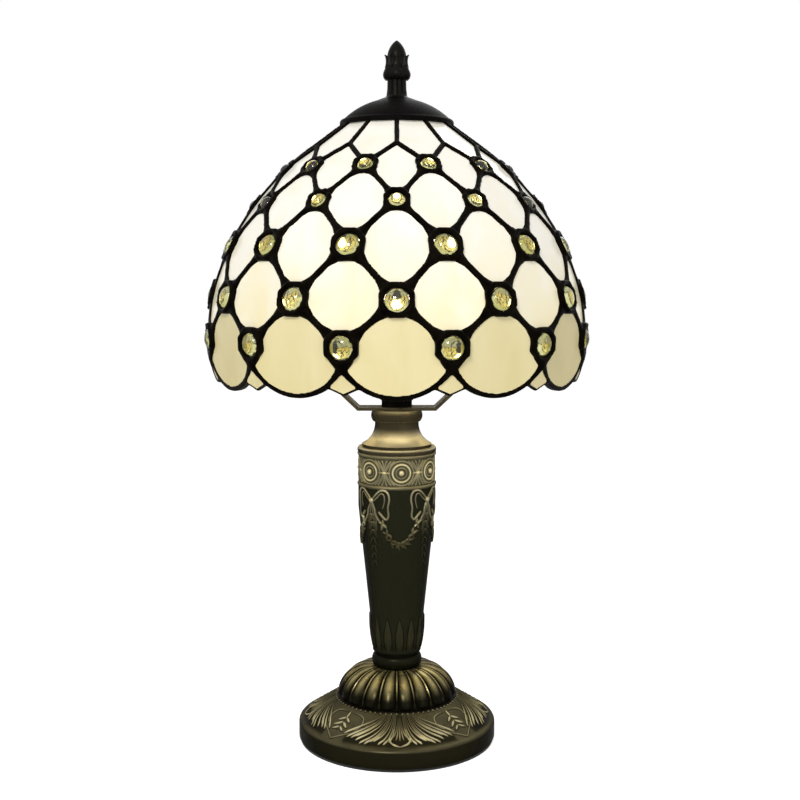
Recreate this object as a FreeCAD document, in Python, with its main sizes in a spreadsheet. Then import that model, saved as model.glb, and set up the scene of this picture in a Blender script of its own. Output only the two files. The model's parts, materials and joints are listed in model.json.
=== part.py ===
"""Table lamp with a leaded glass shade, as separate pieces.

A cast foot carries a cast column and a turned neck on one threaded tube. The tube also clamps a
flat strip harp and a screw lampholder. A threaded post on top of the harp carries the metal cap of
the shade, and the finial clamps the cap. The shade is a dome of flat glass panes and round glass
jewels in a net of solder seams. Millimetres, +Z up, origin at the middle of the resting face, and
the front of the lamp is towards -Y.
"""
import FreeCAD, Part
import math
import os
import re
import Sketcher

Vector = FreeCAD.Vector
UP = Vector(0, 0, 1)

# Each driving dimension: name, millimetres (or a count or degrees), what it is.
SIZES = [
    ("felt_thickness", 1.5, "felt pad under the foot"),
    ("felt_inset", 0.8, "felt edge inside the foot's edge"),
    ("foot_radius", 53.3, "outside of the foot's upright rim"),
    ("rim_height", 10.0, "upright rim of the foot"),
    ("rim_edge", 2.0, "rounding of the rim's top edge"),
    ("slope_height", 12.0, "rise from the rim to the bell"),
    ("bell_radius", 31.8, "bell where it meets the foot"),
    ("bell_bead", 0.8, "bead round the bottom of the bell"),
    ("bell_height", 16.5, "bell from bead to collar"),
    ("bell_curve", 18.5, "radius of the bell's side"),
    ("bell_top_radius", 12.8, "where the bell meets the column"),
    ("casting_wall", 3.0, "wall of the foot casting"),
    ("boss_radius", 9.0, "inner boss round the tube"),
    ("ballast_radius", 29.0, "iron ballast plate"),
    ("ballast_thickness", 6.0, "iron ballast plate"),
    ("washer_radius", 11.0, "washer under the ballast"),
    ("washer_thickness", 1.5, "washer under the ballast"),
    ("nut_flats", 17.0, "clamp nut across flats"),
    ("nut_height", 5.0, "clamp nut"),
    ("nut_gap", 2.0, "space between felt and clamp nut"),
    ("tube_radius", 5.0, "threaded tube, outside"),
    ("tube_bore", 3.6, "threaded tube, inside radius"),
    ("tube_tail", 0.8, "tube past the clamp nut"),
    ("tube_fit", 0.12, "clearance round the tube"),
    ("bushing_radius", 4.0, "cord bushing, outside of its barrel"),
    ("bushing_bore", 3.2, "cord bushing, inside radius"),
    ("bushing_flange", 4.8, "cord bushing flange radius"),
    ("bushing_flange_thickness", 1.6, "cord bushing flange"),
    ("bushing_length", 7.0, "cord bushing barrel"),
    ("bushing_fit", 0.1, "clearance round the bushing"),
    ("column_wall", 2.6, "wall of the column casting"),
    ("ring_fullness", 0.8, "radius of a rounded ring, as a share of its height"),
    ("collar_radius", 12.3, "collar at the foot of the column"),
    ("collar_height", 6.8, "collar at the foot of the column"),
    ("collar_curve", 11.0, "radius of the collar's bulging side"),
    ("collar_groove", 0.8, "groove above the collar"),
    ("ankle_radius", 12.9, "column just above the collar"),
    ("ankle_height", 2.4, "column just above the collar"),
    ("hip_radius", 14.7, "column at the leaf tips"),
    ("hip_rise", 14.0, "column from ankle to hip"),
    ("hip_curve", 36.0, "radius of the swelling above the ankle"),
    ("hip_length", 6.0, "straight part of the hip"),
    ("shoulder_radius", 20.7, "column under the frieze"),
    ("taper_length", 58.0, "tapered part of the column"),
    ("shoulder_length", 11.6, "straight part under the frieze"),
    ("bead_radius", 21.2, "raised rings above and below the frieze"),
    ("bead_height", 1.6, "raised rings above and below the frieze"),
    ("frieze_radius", 20.2, "ground of the frieze"),
    ("frieze_height", 14.2, "frieze with the roundels"),
    ("neck_ring_radius", 20.6, "lowest ring of the neck"),
    ("neck_ring_height", 3.0, "lowest ring of the neck"),
    ("neck_step_radius", 18.6, "second step of the neck"),
    ("neck_step_height", 1.6, "second step of the neck"),
    ("neck_radius", 11.7, "narrowest part of the neck"),
    ("neck_flare_height", 10.4, "hollow flare of the neck"),
    ("neck_curve", 12.0, "radius of the hollow flare"),
    ("neck_collar_radius", 12.7, "round collar at the top"),
    ("neck_collar_height", 6.0, "round collar at the top"),
    ("neck_plain", 1.6, "plain length under the collar"),
    ("strip_width", 14.0, "harp strip"),
    ("strip_thickness", 1.6, "harp strip"),
    ("harp_flat", 20.0, "half the flat bottom of the harp"),
    ("harp_half_width", 36.0, "harp arm from the axis"),
    ("harp_spread", 16.0, "rise of the slanting part"),
    ("harp_arm", 92.0, "upright part of the harp arm"),
    ("harp_cheek_rise", 19.0, "rise of the first part above the arm"),
    ("harp_cheek_half_width", 28.8, "harp from the axis where its top part starts"),
    ("harp_crown_rise", 13.0, "rise of the top part"),
    ("harp_top_flat", 12.0, "half the flat top of the harp"),
    ("jam_nut_flats", 14.0, "nut over the harp, across flats"),
    ("jam_nut_height", 3.5, "nut over the harp"),
    ("holder_foot_radius", 8.6, "bottom of the lampholder"),
    ("holder_radius", 18.6, "lampholder shell"),
    ("holder_cap_height", 18.0, "lower half of the lampholder"),
    ("holder_wall", 2.0, "lampholder wall"),
    ("holder_floor", 6.0, "solid bottom of the lampholder"),
    ("holder_shell_height", 30.0, "upper half of the lampholder"),
    ("core_height", 13.0, "porcelain core"),
    ("core_sink", 4.5, "core below the split of the lampholder"),
    ("holder_rim_proud", 1.0, "bead round the split of the lampholder"),
    ("core_fit", 0.3, "clearance round the core"),
    ("contact_thickness", 1.2, "centre contact"),
    ("contact_radius", 5.0, "centre contact"),
    ("screw_radius", 13.0, "crest of the bulb's screw cap"),
    ("screw_height", 21.0, "bulb's screw cap"),
    ("screw_pitch", 3.5, "one turn of the bulb's thread"),
    ("screw_depth", 0.7, "depth of the bulb's thread"),
    ("screw_fit", 0.25, "clearance round the bulb's screw cap"),
    ("screw_shell_wall", 0.5, "brass screw shell"),
    ("bulb_radius", 22.5, "globe of the bulb"),
    ("bulb_neck_radius", 12.6, "neck of the globe"),
    ("bulb_neck_top_radius", 13.6, "neck where the globe starts"),
    ("bulb_neck_height", 10.0, "neck of the globe"),
    ("bulb_wall", 1.0, "glass of the globe"),
    ("bulb_tip_radius", 4.6, "tip contact of the bulb"),
    ("bulb_insulator_height", 3.4, "glass insulator of the bulb"),
    ("post_radius", 3.0, "threaded post"),
    ("post_fit", 0.25, "clearance round the post"),
    ("shoulder_post_radius", 5.5, "shoulder of the post"),
    ("shoulder_post_height", 19.5, "shoulder of the post"),
    ("post_thread", 11.0, "thread above the shoulder"),
    ("post_nut_flats", 10.0, "nut under the harp's top"),
    ("post_nut_height", 4.0, "nut under the harp's top"),
    ("turning_gap", 0.2, "gap at faces that turn on each other"),
    ("cap_radius", 29.7, "rim of the shade cap"),
    ("cap_lip", 2.8, "lip of the shade cap, with its rolled edge"),
    ("cap_roll", 1.9, "rolled edge above the lip"),
    ("cap_rise", 9.6, "slope of the shade cap"),
    ("cap_hub_rise", 1.3, "hub of the shade cap"),
    ("cap_hub_radius", 7.6, "hub of the shade cap"),
    ("cap_shoulder_radius", 11.0, "slope of the cap where the hub starts"),
    ("cap_curve", 40.0, "radius of the cap's slightly crowned slope"),
    ("cap_wall", 1.2, "sheet of the shade cap"),
    ("finial_foot_radius", 6.8, "foot of the finial"),
    ("finial_foot_height", 1.9, "foot of the finial"),
    ("finial_stem_radius", 5.5, "stem of the finial"),
    ("finial_stem_height", 5.7, "stem of the finial"),
    ("finial_leaf_radius", 8.0, "lower leaves of the finial"),
    ("finial_leaf_rise", 3.5, "lower leaves up to their widest"),
    ("finial_leaf_band", 1.5, "lower leaves at their widest"),
    ("finial_leaf_fall", 5.0, "lower leaves above their widest"),
    ("finial_waist_radius", 5.7, "waist of the finial"),
    ("finial_bud_radius", 6.5, "upper leaves of the finial"),
    ("finial_bud_rise", 2.3, "upper leaves up to their widest"),
    ("finial_bud_fall", 1.3, "upper leaves above their widest"),
    ("finial_cheek_radius", 5.5, "bud above the upper leaves"),
    ("finial_cheek_height", 4.4, "tapering sides of the bud"),
    ("finial_tip_radius", 4.2, "bud where its round end starts"),
    ("finial_tip_height", 3.6, "round end of the bud"),
    ("finial_bore_depth", 12.0, "tapped hole of the finial"),
    ("sectors", 12, "repeats of the shade round its axis"),
    ("crown_radius", 27.0, "joints of the shade's top opening"),
    ("first_joint_radius", 45.3, "first ring of joints"),
    ("first_row_radius", 58.0, "first ring of jewels"),
    ("drop_a", 10.6, "first joints down to the first jewels"),
    ("drop_b", 17.4, "first to second ring of jewels"),
    ("drop_c", 20.7, "second to third ring of jewels"),
    ("drop_d", 25.0, "third to fourth ring of jewels"),
    ("drop_e", 21.7, "fourth to fifth ring of jewels"),
    ("drop_f", 23.2, "fifth ring of jewels to the lowest point"),
    ("scallop_radius", 30.0, "round bottom of the lowest panes"),
    ("tail_drop", 9.6, "fifth jewels down to the fork of the seams"),
    ("wedge_half_width", 8.4, "small wedge pane at the rim, half its width"),
    ("wedge_height", 12.6, "small wedge pane at the rim"),
    ("pane_thickness", 2.6, "sheet glass"),
    ("seam_web", 1.0, "foil and solder between two panes"),
    ("seam_bead", 0.9, "solder proud of the glass"),
    ("seam_fine", 1.9, "width of the seams under the cap"),
    ("seam_upper", 2.5, "width of the seams down to the second jewels"),
    ("seam_lower", 3.2, "width of the seams below"),
    ("seam_wedge", 2.2, "width of the seams under the small wedge panes"),
    ("seam_flat", 0.45, "flat part of a seam's section, as a share of its width"),
    ("jewel_small", 3.9, "radius of the jewels in the upper two rings"),
    ("jewel_large", 5.3, "radius of the jewels in the lower three rings"),
    ("jewel_dome", 2.3, "jewel proud of the glass in front"),
    ("jewel_back", 0.8, "jewel proud of the glass behind"),
    ("jewel_fit", 0.1, "clearance round a jewel"),
    ("surround_small", 2.1, "solder round a small jewel"),
    ("surround_large", 2.5, "solder round a large jewel"),
    ("surround_lip", 1.2, "solder over the cut corner of a pane"),
    ("crown_ring_wire", 1.4, "wire ring in the shade's top opening"),
]

doc = FreeCAD.newDocument("leaded_glass_lamp")
sheet = doc.addObject("Spreadsheet::Sheet", "Sizes")
for line, (alias, number, meaning) in enumerate(SIZES, start=1):
    sheet.set(f"A{line}", str(number))
    sheet.setAlias(f"A{line}", alias)
    sheet.set(f"B{line}", meaning)
doc.recompute()


ALIASES = re.compile(r"\b(" + "|".join(alias for alias, _, _ in SIZES) + r")\b")


def bound(text):
    """An expression on the sheet's cells, from one written with the bare names."""
    return ALIASES.sub(r"Sizes.\1", text)


def value(text):
    """The number that an expression on the bare names gives now."""
    return float(sheet.evalExpression(bound(text)))


# Heights of the seats, each as an expression on the one below it.
FELT_TOP = "felt_thickness"
NUT_BOTTOM = f"{FELT_TOP} + nut_gap"
WASHER_BOTTOM = f"{NUT_BOTTOM} + nut_height"
BALLAST_BOTTOM = f"{WASHER_BOTTOM} + washer_thickness"
BOSS_BOTTOM = f"{BALLAST_BOTTOM} + ballast_thickness"
RIM_TOP = f"{FELT_TOP} + rim_height"
BELL_BOTTOM = f"{RIM_TOP} + slope_height"
COLUMN_BOTTOM = f"{BELL_BOTTOM} + bell_height"
ANKLE_BOTTOM = f"{COLUMN_BOTTOM} + collar_height + collar_groove"
HIP_BOTTOM = f"{ANKLE_BOTTOM} + ankle_height + hip_rise"
TAPER_BOTTOM = f"{HIP_BOTTOM} + hip_length"
SHOULDER_BOTTOM = f"{TAPER_BOTTOM} + taper_length"
LOWER_BEAD = f"{SHOULDER_BOTTOM} + shoulder_length"
FRIEZE_BOTTOM = f"{LOWER_BEAD} + bead_height"
FRIEZE_TOP = f"{FRIEZE_BOTTOM} + frieze_height"
NECK_BOTTOM = f"{FRIEZE_TOP} + bead_height"
NECK_STEP = f"{NECK_BOTTOM} + neck_ring_height"
NECK_FLARE = f"{NECK_STEP} + neck_step_height"
NECK_PLAIN = f"{NECK_FLARE} + neck_flare_height"
HARP_BOTTOM = f"{NECK_PLAIN} + neck_plain + neck_collar_height"
JAM_NUT_BOTTOM = f"{HARP_BOTTOM} + strip_thickness"
HOLDER_BOTTOM = f"{JAM_NUT_BOTTOM} + jam_nut_height"
HOLDER_SPLIT = f"{HOLDER_BOTTOM} + holder_cap_height"
CORE_BOTTOM = f"{HOLDER_SPLIT} - core_sink"
CORE_TOP = f"{CORE_BOTTOM} + core_height"
TIP_BOTTOM = f"{CORE_TOP} + contact_thickness + turning_gap"
SCREW_BOTTOM = f"{TIP_BOTTOM} + contact_thickness + bulb_insulator_height"
SCREW_TOP = f"{SCREW_BOTTOM} + screw_height"
HARP_SPREAD_TOP = f"{HARP_BOTTOM} + harp_spread"
HARP_ARM_TOP = f"{HARP_SPREAD_TOP} + harp_arm"
HARP_CHEEK_TOP = f"{HARP_ARM_TOP} + harp_cheek_rise"
HARP_CROWN = f"{HARP_CHEEK_TOP} + harp_crown_rise"
HARP_TOP = f"{HARP_CROWN} + strip_thickness"
SHOULDER_TOP = f"{HARP_TOP} + shoulder_post_height"
HUB_BOTTOM = f"{SHOULDER_TOP} + turning_gap"
HUB_TOP = f"{HUB_BOTTOM} + cap_wall"
CAP_SHOULDER = f"{HUB_TOP} - cap_hub_rise"
CAP_SLOPE = f"{CAP_SHOULDER} - cap_rise"
CAP_RIM = f"{CAP_SLOPE} - cap_lip"
FINIAL_BOTTOM = f"{HUB_TOP} + turning_gap"


# Makers --------------------------------------------------------------------------------------
def plane_of(body, role):
    """One of a body's own origin planes, by its role."""
    return next(f for f in body.Origin.OriginFeatures if f.Role == role)


def pin_point(sketch, geometry, end, across, along):
    """Holds one end of a sketch line at two expressions, or on an axis where one of them is 0."""
    for kind, axis, text in (("DistanceX", -2, across), ("DistanceY", -1, along)):
        if text == "0":
            sketch.addConstraint(Sketcher.Constraint("PointOnObject", geometry, end, axis))
            continue
        number = value(text)
        first, second = ((-1, 1), (geometry, end)) if number >= 0 else ((geometry, end), (-1, 1))
        index = sketch.addConstraint(Sketcher.Constraint(kind, *first, *second, abs(number)))
        sketch.setExpression(f"Constraints[{index}]", bound(text if number >= 0 else f"-({text})"))


def draw_outline(sketch, outline, closed=True):
    """Draws an outline of (across, along) expressions; a third entry bends the side that follows.

    That entry is a radius expression, with a minus sign in front for a side that bends inwards as
    the outline is walked anticlockwise.
    """
    points = [Vector(value(p[0]), value(p[1]), 0) for p in outline]
    count = len(outline) if closed else len(outline) - 1
    starts = []
    for i in range(count):
        a, b = points[i], points[(i + 1) % len(points)]
        if len(outline[i]) == 3:
            bend = outline[i][2]
            radius = value(bend.lstrip("-"))
            half = (b - a).Length / 2
            rise = radius - math.sqrt(radius ** 2 - half ** 2)
            out = (b - a).cross(UP).normalize() * (-rise if bend.startswith("-") else rise)
            g = sketch.addGeometry(Part.Arc(a, (a + b) * 0.5 + out, b))
            first = 1 if sketch.getPoint(g, 1).distanceToPoint(a) < 1e-6 else 2
            index = sketch.addConstraint(Sketcher.Constraint("Radius", g, radius))
            sketch.setExpression(f"Constraints[{index}]", bound(bend.lstrip("-")))
        else:
            g = sketch.addGeometry(Part.LineSegment(a, b))
            first = 1
        starts.append((g, first))
    for i, (g, first) in enumerate(starts):
        pin_point(sketch, g, first, outline[i][0], outline[i][1])
        if i + 1 < count or closed:
            h, other = starts[(i + 1) % len(starts)]
            sketch.addConstraint(Sketcher.Constraint("Coincident", g, 3 - first, h, other))
    if not closed:
        pin_point(sketch, starts[-1][0], 3 - starts[-1][1], outline[-1][0], outline[-1][1])


def new_sketch(body, role, name):
    """An empty sketch on one of the body's origin planes."""
    sketch = body.newObject("Sketcher::SketchObject", name)
    sketch.AttachmentSupport = [(plane_of(body, role), "")]
    sketch.MapMode = "FlatFace"
    return sketch


def turned(name, outline):
    """A body turned about the lamp's axis from an outline of (radius, height) expressions."""
    body = doc.addObject("PartDesign::Body", name)
    sketch = new_sketch(body, "XZ_Plane", f"{name}_outline")
    draw_outline(sketch, outline)
    turn = body.newObject("PartDesign::Revolution", f"{name}_turn")
    turn.Profile = (sketch, [""])
    turn.ReferenceAxis = (sketch, ["V_Axis"])
    turn.Angle = 360
    return body


def primitive(kind, name, **sizes):
    """A Part primitive with its sizes, and its height in z, bound to expressions."""
    piece = doc.addObject(f"Part::{kind}", name)
    for size, text in sizes.items():
        piece.setExpression("Placement.Base.z" if size == "z" else size, bound(text))
    return piece


def cut_away(name, base, tool):
    """The base less the tool."""
    piece = doc.addObject("Part::Cut", name)
    piece.Base, piece.Tool = base, tool
    return piece


def ring_plate(name, outer, inner, z, height):
    """A flat ring: a washer or a plate with a hole."""
    disc = primitive("Cylinder", f"{name}_disc", Radius=outer, Height=height, z=z)
    hole = primitive("Cylinder", f"{name}_hole", Radius=inner, Height=height, z=z)
    return cut_away(name, disc, hole)


def hex_nut(name, flats, bore, z, height):
    """A hexagon nut on the lamp's axis."""
    block = primitive("Prism", f"{name}_block", Circumradius=f"{flats} / 2 / cos(30 deg)",
                      Height=height, z=z)
    block.Polygon = 6
    hole = primitive("Cylinder", f"{name}_hole", Radius=bore, Height=height, z=z)
    return cut_away(name, block, hole)


def shaped(name, shape):
    """A piece whose shape the shade's own geometry gives."""
    piece = doc.addObject("Part::Feature", name)
    piece.Shape = shape
    return piece


# Foot, column and neck ---------------------------------------------------------------------------
def foot_casting():
    """The foot: upright rim, slope and bell in one casting, with a boss for the tube inside."""
    inner_rim = "foot_radius - casting_wall"
    ceiling = f"{COLUMN_BOTTOM} - casting_wall"
    under_slope = f"{RIM_TOP} - casting_wall"
    hole = "tube_radius + tube_fit"
    body = turned("foot_casting", [
        (inner_rim, FELT_TOP),
        ("foot_radius", FELT_TOP),
        ("foot_radius", f"{RIM_TOP} - rim_edge", "rim_edge"),
        ("foot_radius - rim_edge", RIM_TOP),
        ("bell_radius + bell_bead", BELL_BOTTOM),
        ("bell_radius + bell_bead", f"{BELL_BOTTOM} + bell_bead"),
        ("bell_radius", f"{BELL_BOTTOM} + bell_bead", "bell_curve"),
        ("bell_top_radius", COLUMN_BOTTOM),
        (hole, COLUMN_BOTTOM),
        (hole, BOSS_BOTTOM),
        ("boss_radius", BOSS_BOTTOM),
        ("boss_radius", ceiling),
        ("bell_top_radius + casting_wall", ceiling),
        ("bell_radius - casting_wall", f"{BELL_BOTTOM} + casting_wall / 2"),
        ("bell_radius - casting_wall", f"{BELL_BOTTOM} - casting_wall"),
        (f"{inner_rim} - rim_edge", under_slope),
        (inner_rim, f"{under_slope} - rim_edge"),
    ])
    sketch = new_sketch(body, "XZ_Plane", "cord_hole_outline")
    circle = sketch.addGeometry(Part.Circle(Vector(0, value(CORD_HEIGHT), 0), UP,
                                            value("bushing_radius + bushing_fit")))
    radius = sketch.addConstraint(
        Sketcher.Constraint("Radius", circle, value("bushing_radius + bushing_fit")))
    sketch.setExpression(f"Constraints[{radius}]", bound("bushing_radius + bushing_fit"))
    sketch.addConstraint(Sketcher.Constraint("PointOnObject", circle, 3, -2))
    height = sketch.addConstraint(
        Sketcher.Constraint("DistanceY", -1, 1, circle, 3, value(CORD_HEIGHT)))
    sketch.setExpression(f"Constraints[{height}]", bound(CORD_HEIGHT))
    doc.recompute()
    drill = body.newObject("PartDesign::Pocket", "cord_hole")
    drill.Profile = (sketch, [""])
    drill.setExpression("Length", bound("foot_radius + rim_edge"))
    before = body.Shape.Volume
    doc.recompute()
    if body.Shape.Volume >= before - 1:
        raise ValueError("the cord hole cut nothing out of the foot")
    return body


CORD_HEIGHT = f"{FELT_TOP} + rim_height / 2"


def cord_bushing():
    """The flanged bushing in the back of the rim, lying along Y."""
    tilt = FreeCAD.Rotation(Vector(1, 0, 0), -90)
    start = "foot_radius - bushing_length"
    parts = []
    for name, radius, length, y in (
            ("barrel", "bushing_radius", "bushing_length + turning_gap", start),
            ("flange", "bushing_flange", "bushing_flange_thickness", "foot_radius + turning_gap"),
            ("bore", "bushing_bore",
             "bushing_length + turning_gap + bushing_flange_thickness", start)):
        piece = primitive("Cylinder", f"bushing_{name}", Radius=radius, Height=length,
                          z=CORD_HEIGHT)
        piece.Placement.Rotation = tilt
        piece.setExpression("Placement.Base.y", bound(y))
        parts.append(piece)
    barrel, flange, bore = parts
    solid = doc.addObject("Part::Fuse", "bushing_solid")
    solid.Base, solid.Tool = barrel, flange
    return cut_away("cord_bushing", solid, bore)


def column_casting():
    """The hollow column: collar, leafed swelling, taper and frieze."""
    hole = "tube_radius + tube_fit"
    floor = f"{COLUMN_BOTTOM} + collar_height"
    ceiling = f"{NECK_BOTTOM} - column_wall"
    return turned("column_casting", [
        (hole, COLUMN_BOTTOM),
        ("collar_radius", COLUMN_BOTTOM, "collar_curve"),
        ("collar_radius", f"{COLUMN_BOTTOM} + collar_height"),
        ("collar_radius - collar_groove", f"{COLUMN_BOTTOM} + collar_height"),
        ("collar_radius - collar_groove", ANKLE_BOTTOM),
        ("ankle_radius", ANKLE_BOTTOM),
        ("ankle_radius", f"{ANKLE_BOTTOM} + ankle_height", "hip_curve"),
        ("hip_radius", HIP_BOTTOM),
        ("hip_radius", TAPER_BOTTOM),
        ("shoulder_radius", SHOULDER_BOTTOM),
        ("shoulder_radius", LOWER_BEAD),
        ("bead_radius", LOWER_BEAD, "bead_height * ring_fullness"),
        ("bead_radius", FRIEZE_BOTTOM),
        ("frieze_radius", FRIEZE_BOTTOM),
        ("frieze_radius", FRIEZE_TOP),
        ("bead_radius", FRIEZE_TOP, "bead_height * ring_fullness"),
        ("bead_radius", NECK_BOTTOM),
        (hole, NECK_BOTTOM),
        (hole, ceiling),
        ("frieze_radius - column_wall", ceiling),
        ("frieze_radius - column_wall", SHOULDER_BOTTOM),
        ("hip_radius - column_wall", TAPER_BOTTOM),
        ("ankle_radius - column_wall", f"{ANKLE_BOTTOM} + ankle_height"),
        ("ankle_radius - column_wall", floor),
        (hole, floor),
    ])


def neck_cap():
    """The turned neck on top of the column, ending in a round collar."""
    hole = "tube_radius + tube_fit"
    return turned("neck_cap", [
        (hole, NECK_BOTTOM),
        ("neck_ring_radius", NECK_BOTTOM, "neck_ring_height * ring_fullness"),
        ("neck_ring_radius", NECK_STEP),
        ("neck_step_radius", NECK_STEP),
        ("neck_step_radius", NECK_FLARE, "-neck_curve"),
        ("neck_radius", NECK_PLAIN),
        ("neck_radius", f"{NECK_PLAIN} + neck_plain"),
        ("neck_collar_radius", f"{NECK_PLAIN} + neck_plain", "neck_collar_height * ring_fullness"),
        ("neck_collar_radius", HARP_BOTTOM),
        (hole, HARP_BOTTOM),
    ])


def clamp_stack():
    """What holds the foot, column, neck, harp and lampholder on the tube."""
    bore = "tube_radius + tube_fit"
    felt = primitive("Cylinder", "felt_pad", Radius="foot_radius - felt_inset",
                     Height="felt_thickness")
    tube = ring_plate("threaded_tube", "tube_radius", "tube_bore", f"{NUT_BOTTOM} - tube_tail",
                      f"{HOLDER_BOTTOM} + holder_floor - ({NUT_BOTTOM}) + tube_tail")
    return [
        felt,
        ring_plate("ballast_plate", "ballast_radius", bore, BALLAST_BOTTOM, "ballast_thickness"),
        ring_plate("clamp_washer", "washer_radius", bore, WASHER_BOTTOM, "washer_thickness"),
        hex_nut("clamp_nut", "nut_flats", bore, NUT_BOTTOM, "nut_height"),
        tube,
        hex_nut("harp_nut", "jam_nut_flats", bore, JAM_NUT_BOTTOM, "jam_nut_height"),
    ]


# Harp and post -----------------------------------------------------------------------------------
def harp_hole(body, name, radius, reach):
    """A round hole on the lamp's axis through the harp, from the ground up to a height."""
    sketch = new_sketch(body, "XY_Plane", f"{name}_outline")
    circle = sketch.addGeometry(Part.Circle(Vector(), UP, value(radius)))
    index = sketch.addConstraint(Sketcher.Constraint("Radius", circle, value(radius)))
    sketch.setExpression(f"Constraints[{index}]", bound(radius))
    sketch.addConstraint(Sketcher.Constraint("Coincident", circle, 3, -1, 1))
    before = body.Shape.Volume
    drill = body.newObject("PartDesign::Pocket", name)
    drill.Profile = (sketch, [""])
    drill.Reversed = True
    drill.setExpression("Length", bound(reach))
    doc.recompute()
    if body.Shape.Volume >= before:
        raise ValueError(f"{name} cut nothing out of the harp")


def harp():
    """One flat strip bent round the bulb, with holes for the tube below and the post above."""
    body = doc.addObject("PartDesign::Body", "harp")
    sketch = new_sketch(body, "XZ_Plane", "harp_outline")
    inner = [("harp_flat", f"{HARP_BOTTOM} + strip_thickness"),
             ("harp_half_width", f"{HARP_SPREAD_TOP} + strip_thickness / 2"),
             ("harp_half_width", HARP_ARM_TOP),
             ("harp_cheek_half_width", HARP_CHEEK_TOP),
             ("harp_top_flat", HARP_CROWN)]
    outer = [("harp_flat + strip_thickness / 2", HARP_BOTTOM),
             ("harp_half_width + strip_thickness", HARP_SPREAD_TOP),
             ("harp_half_width + strip_thickness", f"{HARP_ARM_TOP} + strip_thickness / 3"),
             ("harp_cheek_half_width + strip_thickness", f"{HARP_CHEEK_TOP} + strip_thickness / 2"),
             ("harp_top_flat + strip_thickness / 2", HARP_TOP)]
    for side in (outer, inner):
        draw_outline(sketch, side + [(f"-({across})", height) for across, height in side[::-1]])
    doc.recompute()
    pad = body.newObject("PartDesign::Pad", "harp_pad")
    pad.Profile = (sketch, [""])
    pad.setExpression("Length", bound("strip_width"))
    pad.Midplane = True
    doc.recompute()
    harp_hole(body, "harp_tube_hole", "tube_radius + tube_fit", HARP_SPREAD_TOP)
    harp_hole(body, "harp_post_hole", "post_radius + post_fit", HARP_TOP)


def shade_post():
    """The turned post on the harp: thread, shoulder and upper thread, and the nut below."""
    low = f"{HARP_TOP} - strip_thickness - post_nut_height - tube_tail"
    post = turned("shade_post", [
        ("0", low),
        ("post_radius", low),
        ("post_radius", HARP_TOP),
        ("shoulder_post_radius", HARP_TOP),
        ("shoulder_post_radius", SHOULDER_TOP),
        ("post_radius", SHOULDER_TOP),
        ("post_radius", f"{SHOULDER_TOP} + post_thread"),
        ("0", f"{SHOULDER_TOP} + post_thread"),
    ])
    nut = hex_nut("post_nut", "post_nut_flats", "post_radius + post_fit",
                  f"{HARP_TOP} - strip_thickness - post_nut_height", "post_nut_height")
    return post, nut


# Lampholder and bulb -----------------------------------------------------------------------------
def lampholder():
    """The two-part holder, its porcelain core, screw shell and centre contact."""
    hole = "tube_radius + tube_fit"
    inside = "holder_radius - holder_wall"
    floor = f"{HOLDER_BOTTOM} + holder_floor"
    ledge = f"{inside} - holder_wall"
    turned("holder_cap", [
        (hole, HOLDER_BOTTOM),
        ("holder_foot_radius", HOLDER_BOTTOM),
        ("holder_radius", CORE_BOTTOM),
        ("holder_radius", HOLDER_SPLIT),
        (inside, HOLDER_SPLIT),
        (inside, CORE_BOTTOM),
        (ledge, CORE_BOTTOM),
        ("holder_foot_radius", floor),
        (hole, floor),
    ])
    top = f"{HOLDER_SPLIT} + holder_shell_height"
    turned("holder_shell", [
        (inside, HOLDER_SPLIT),
        ("holder_radius", HOLDER_SPLIT),
        ("holder_radius + holder_rim_proud", f"{HOLDER_SPLIT} + holder_wall"),
        ("holder_radius", f"{HOLDER_SPLIT} + holder_wall * 2"),
        ("holder_radius", top),
        (inside, top),
    ])
    turned("holder_core", [
        ("0", CORE_BOTTOM),
        (f"{inside} - core_fit", CORE_BOTTOM),
        (f"{inside} - core_fit", CORE_TOP),
        ("0", CORE_TOP),
    ])
    primitive("Cylinder", "centre_contact", Radius="contact_radius", Height="contact_thickness",
              z=CORE_TOP)
    shell_bore = "screw_radius + screw_fit"
    ring_plate("screw_shell", f"{shell_bore} + screw_shell_wall", shell_bore, CORE_TOP,
               "screw_height")


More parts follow.
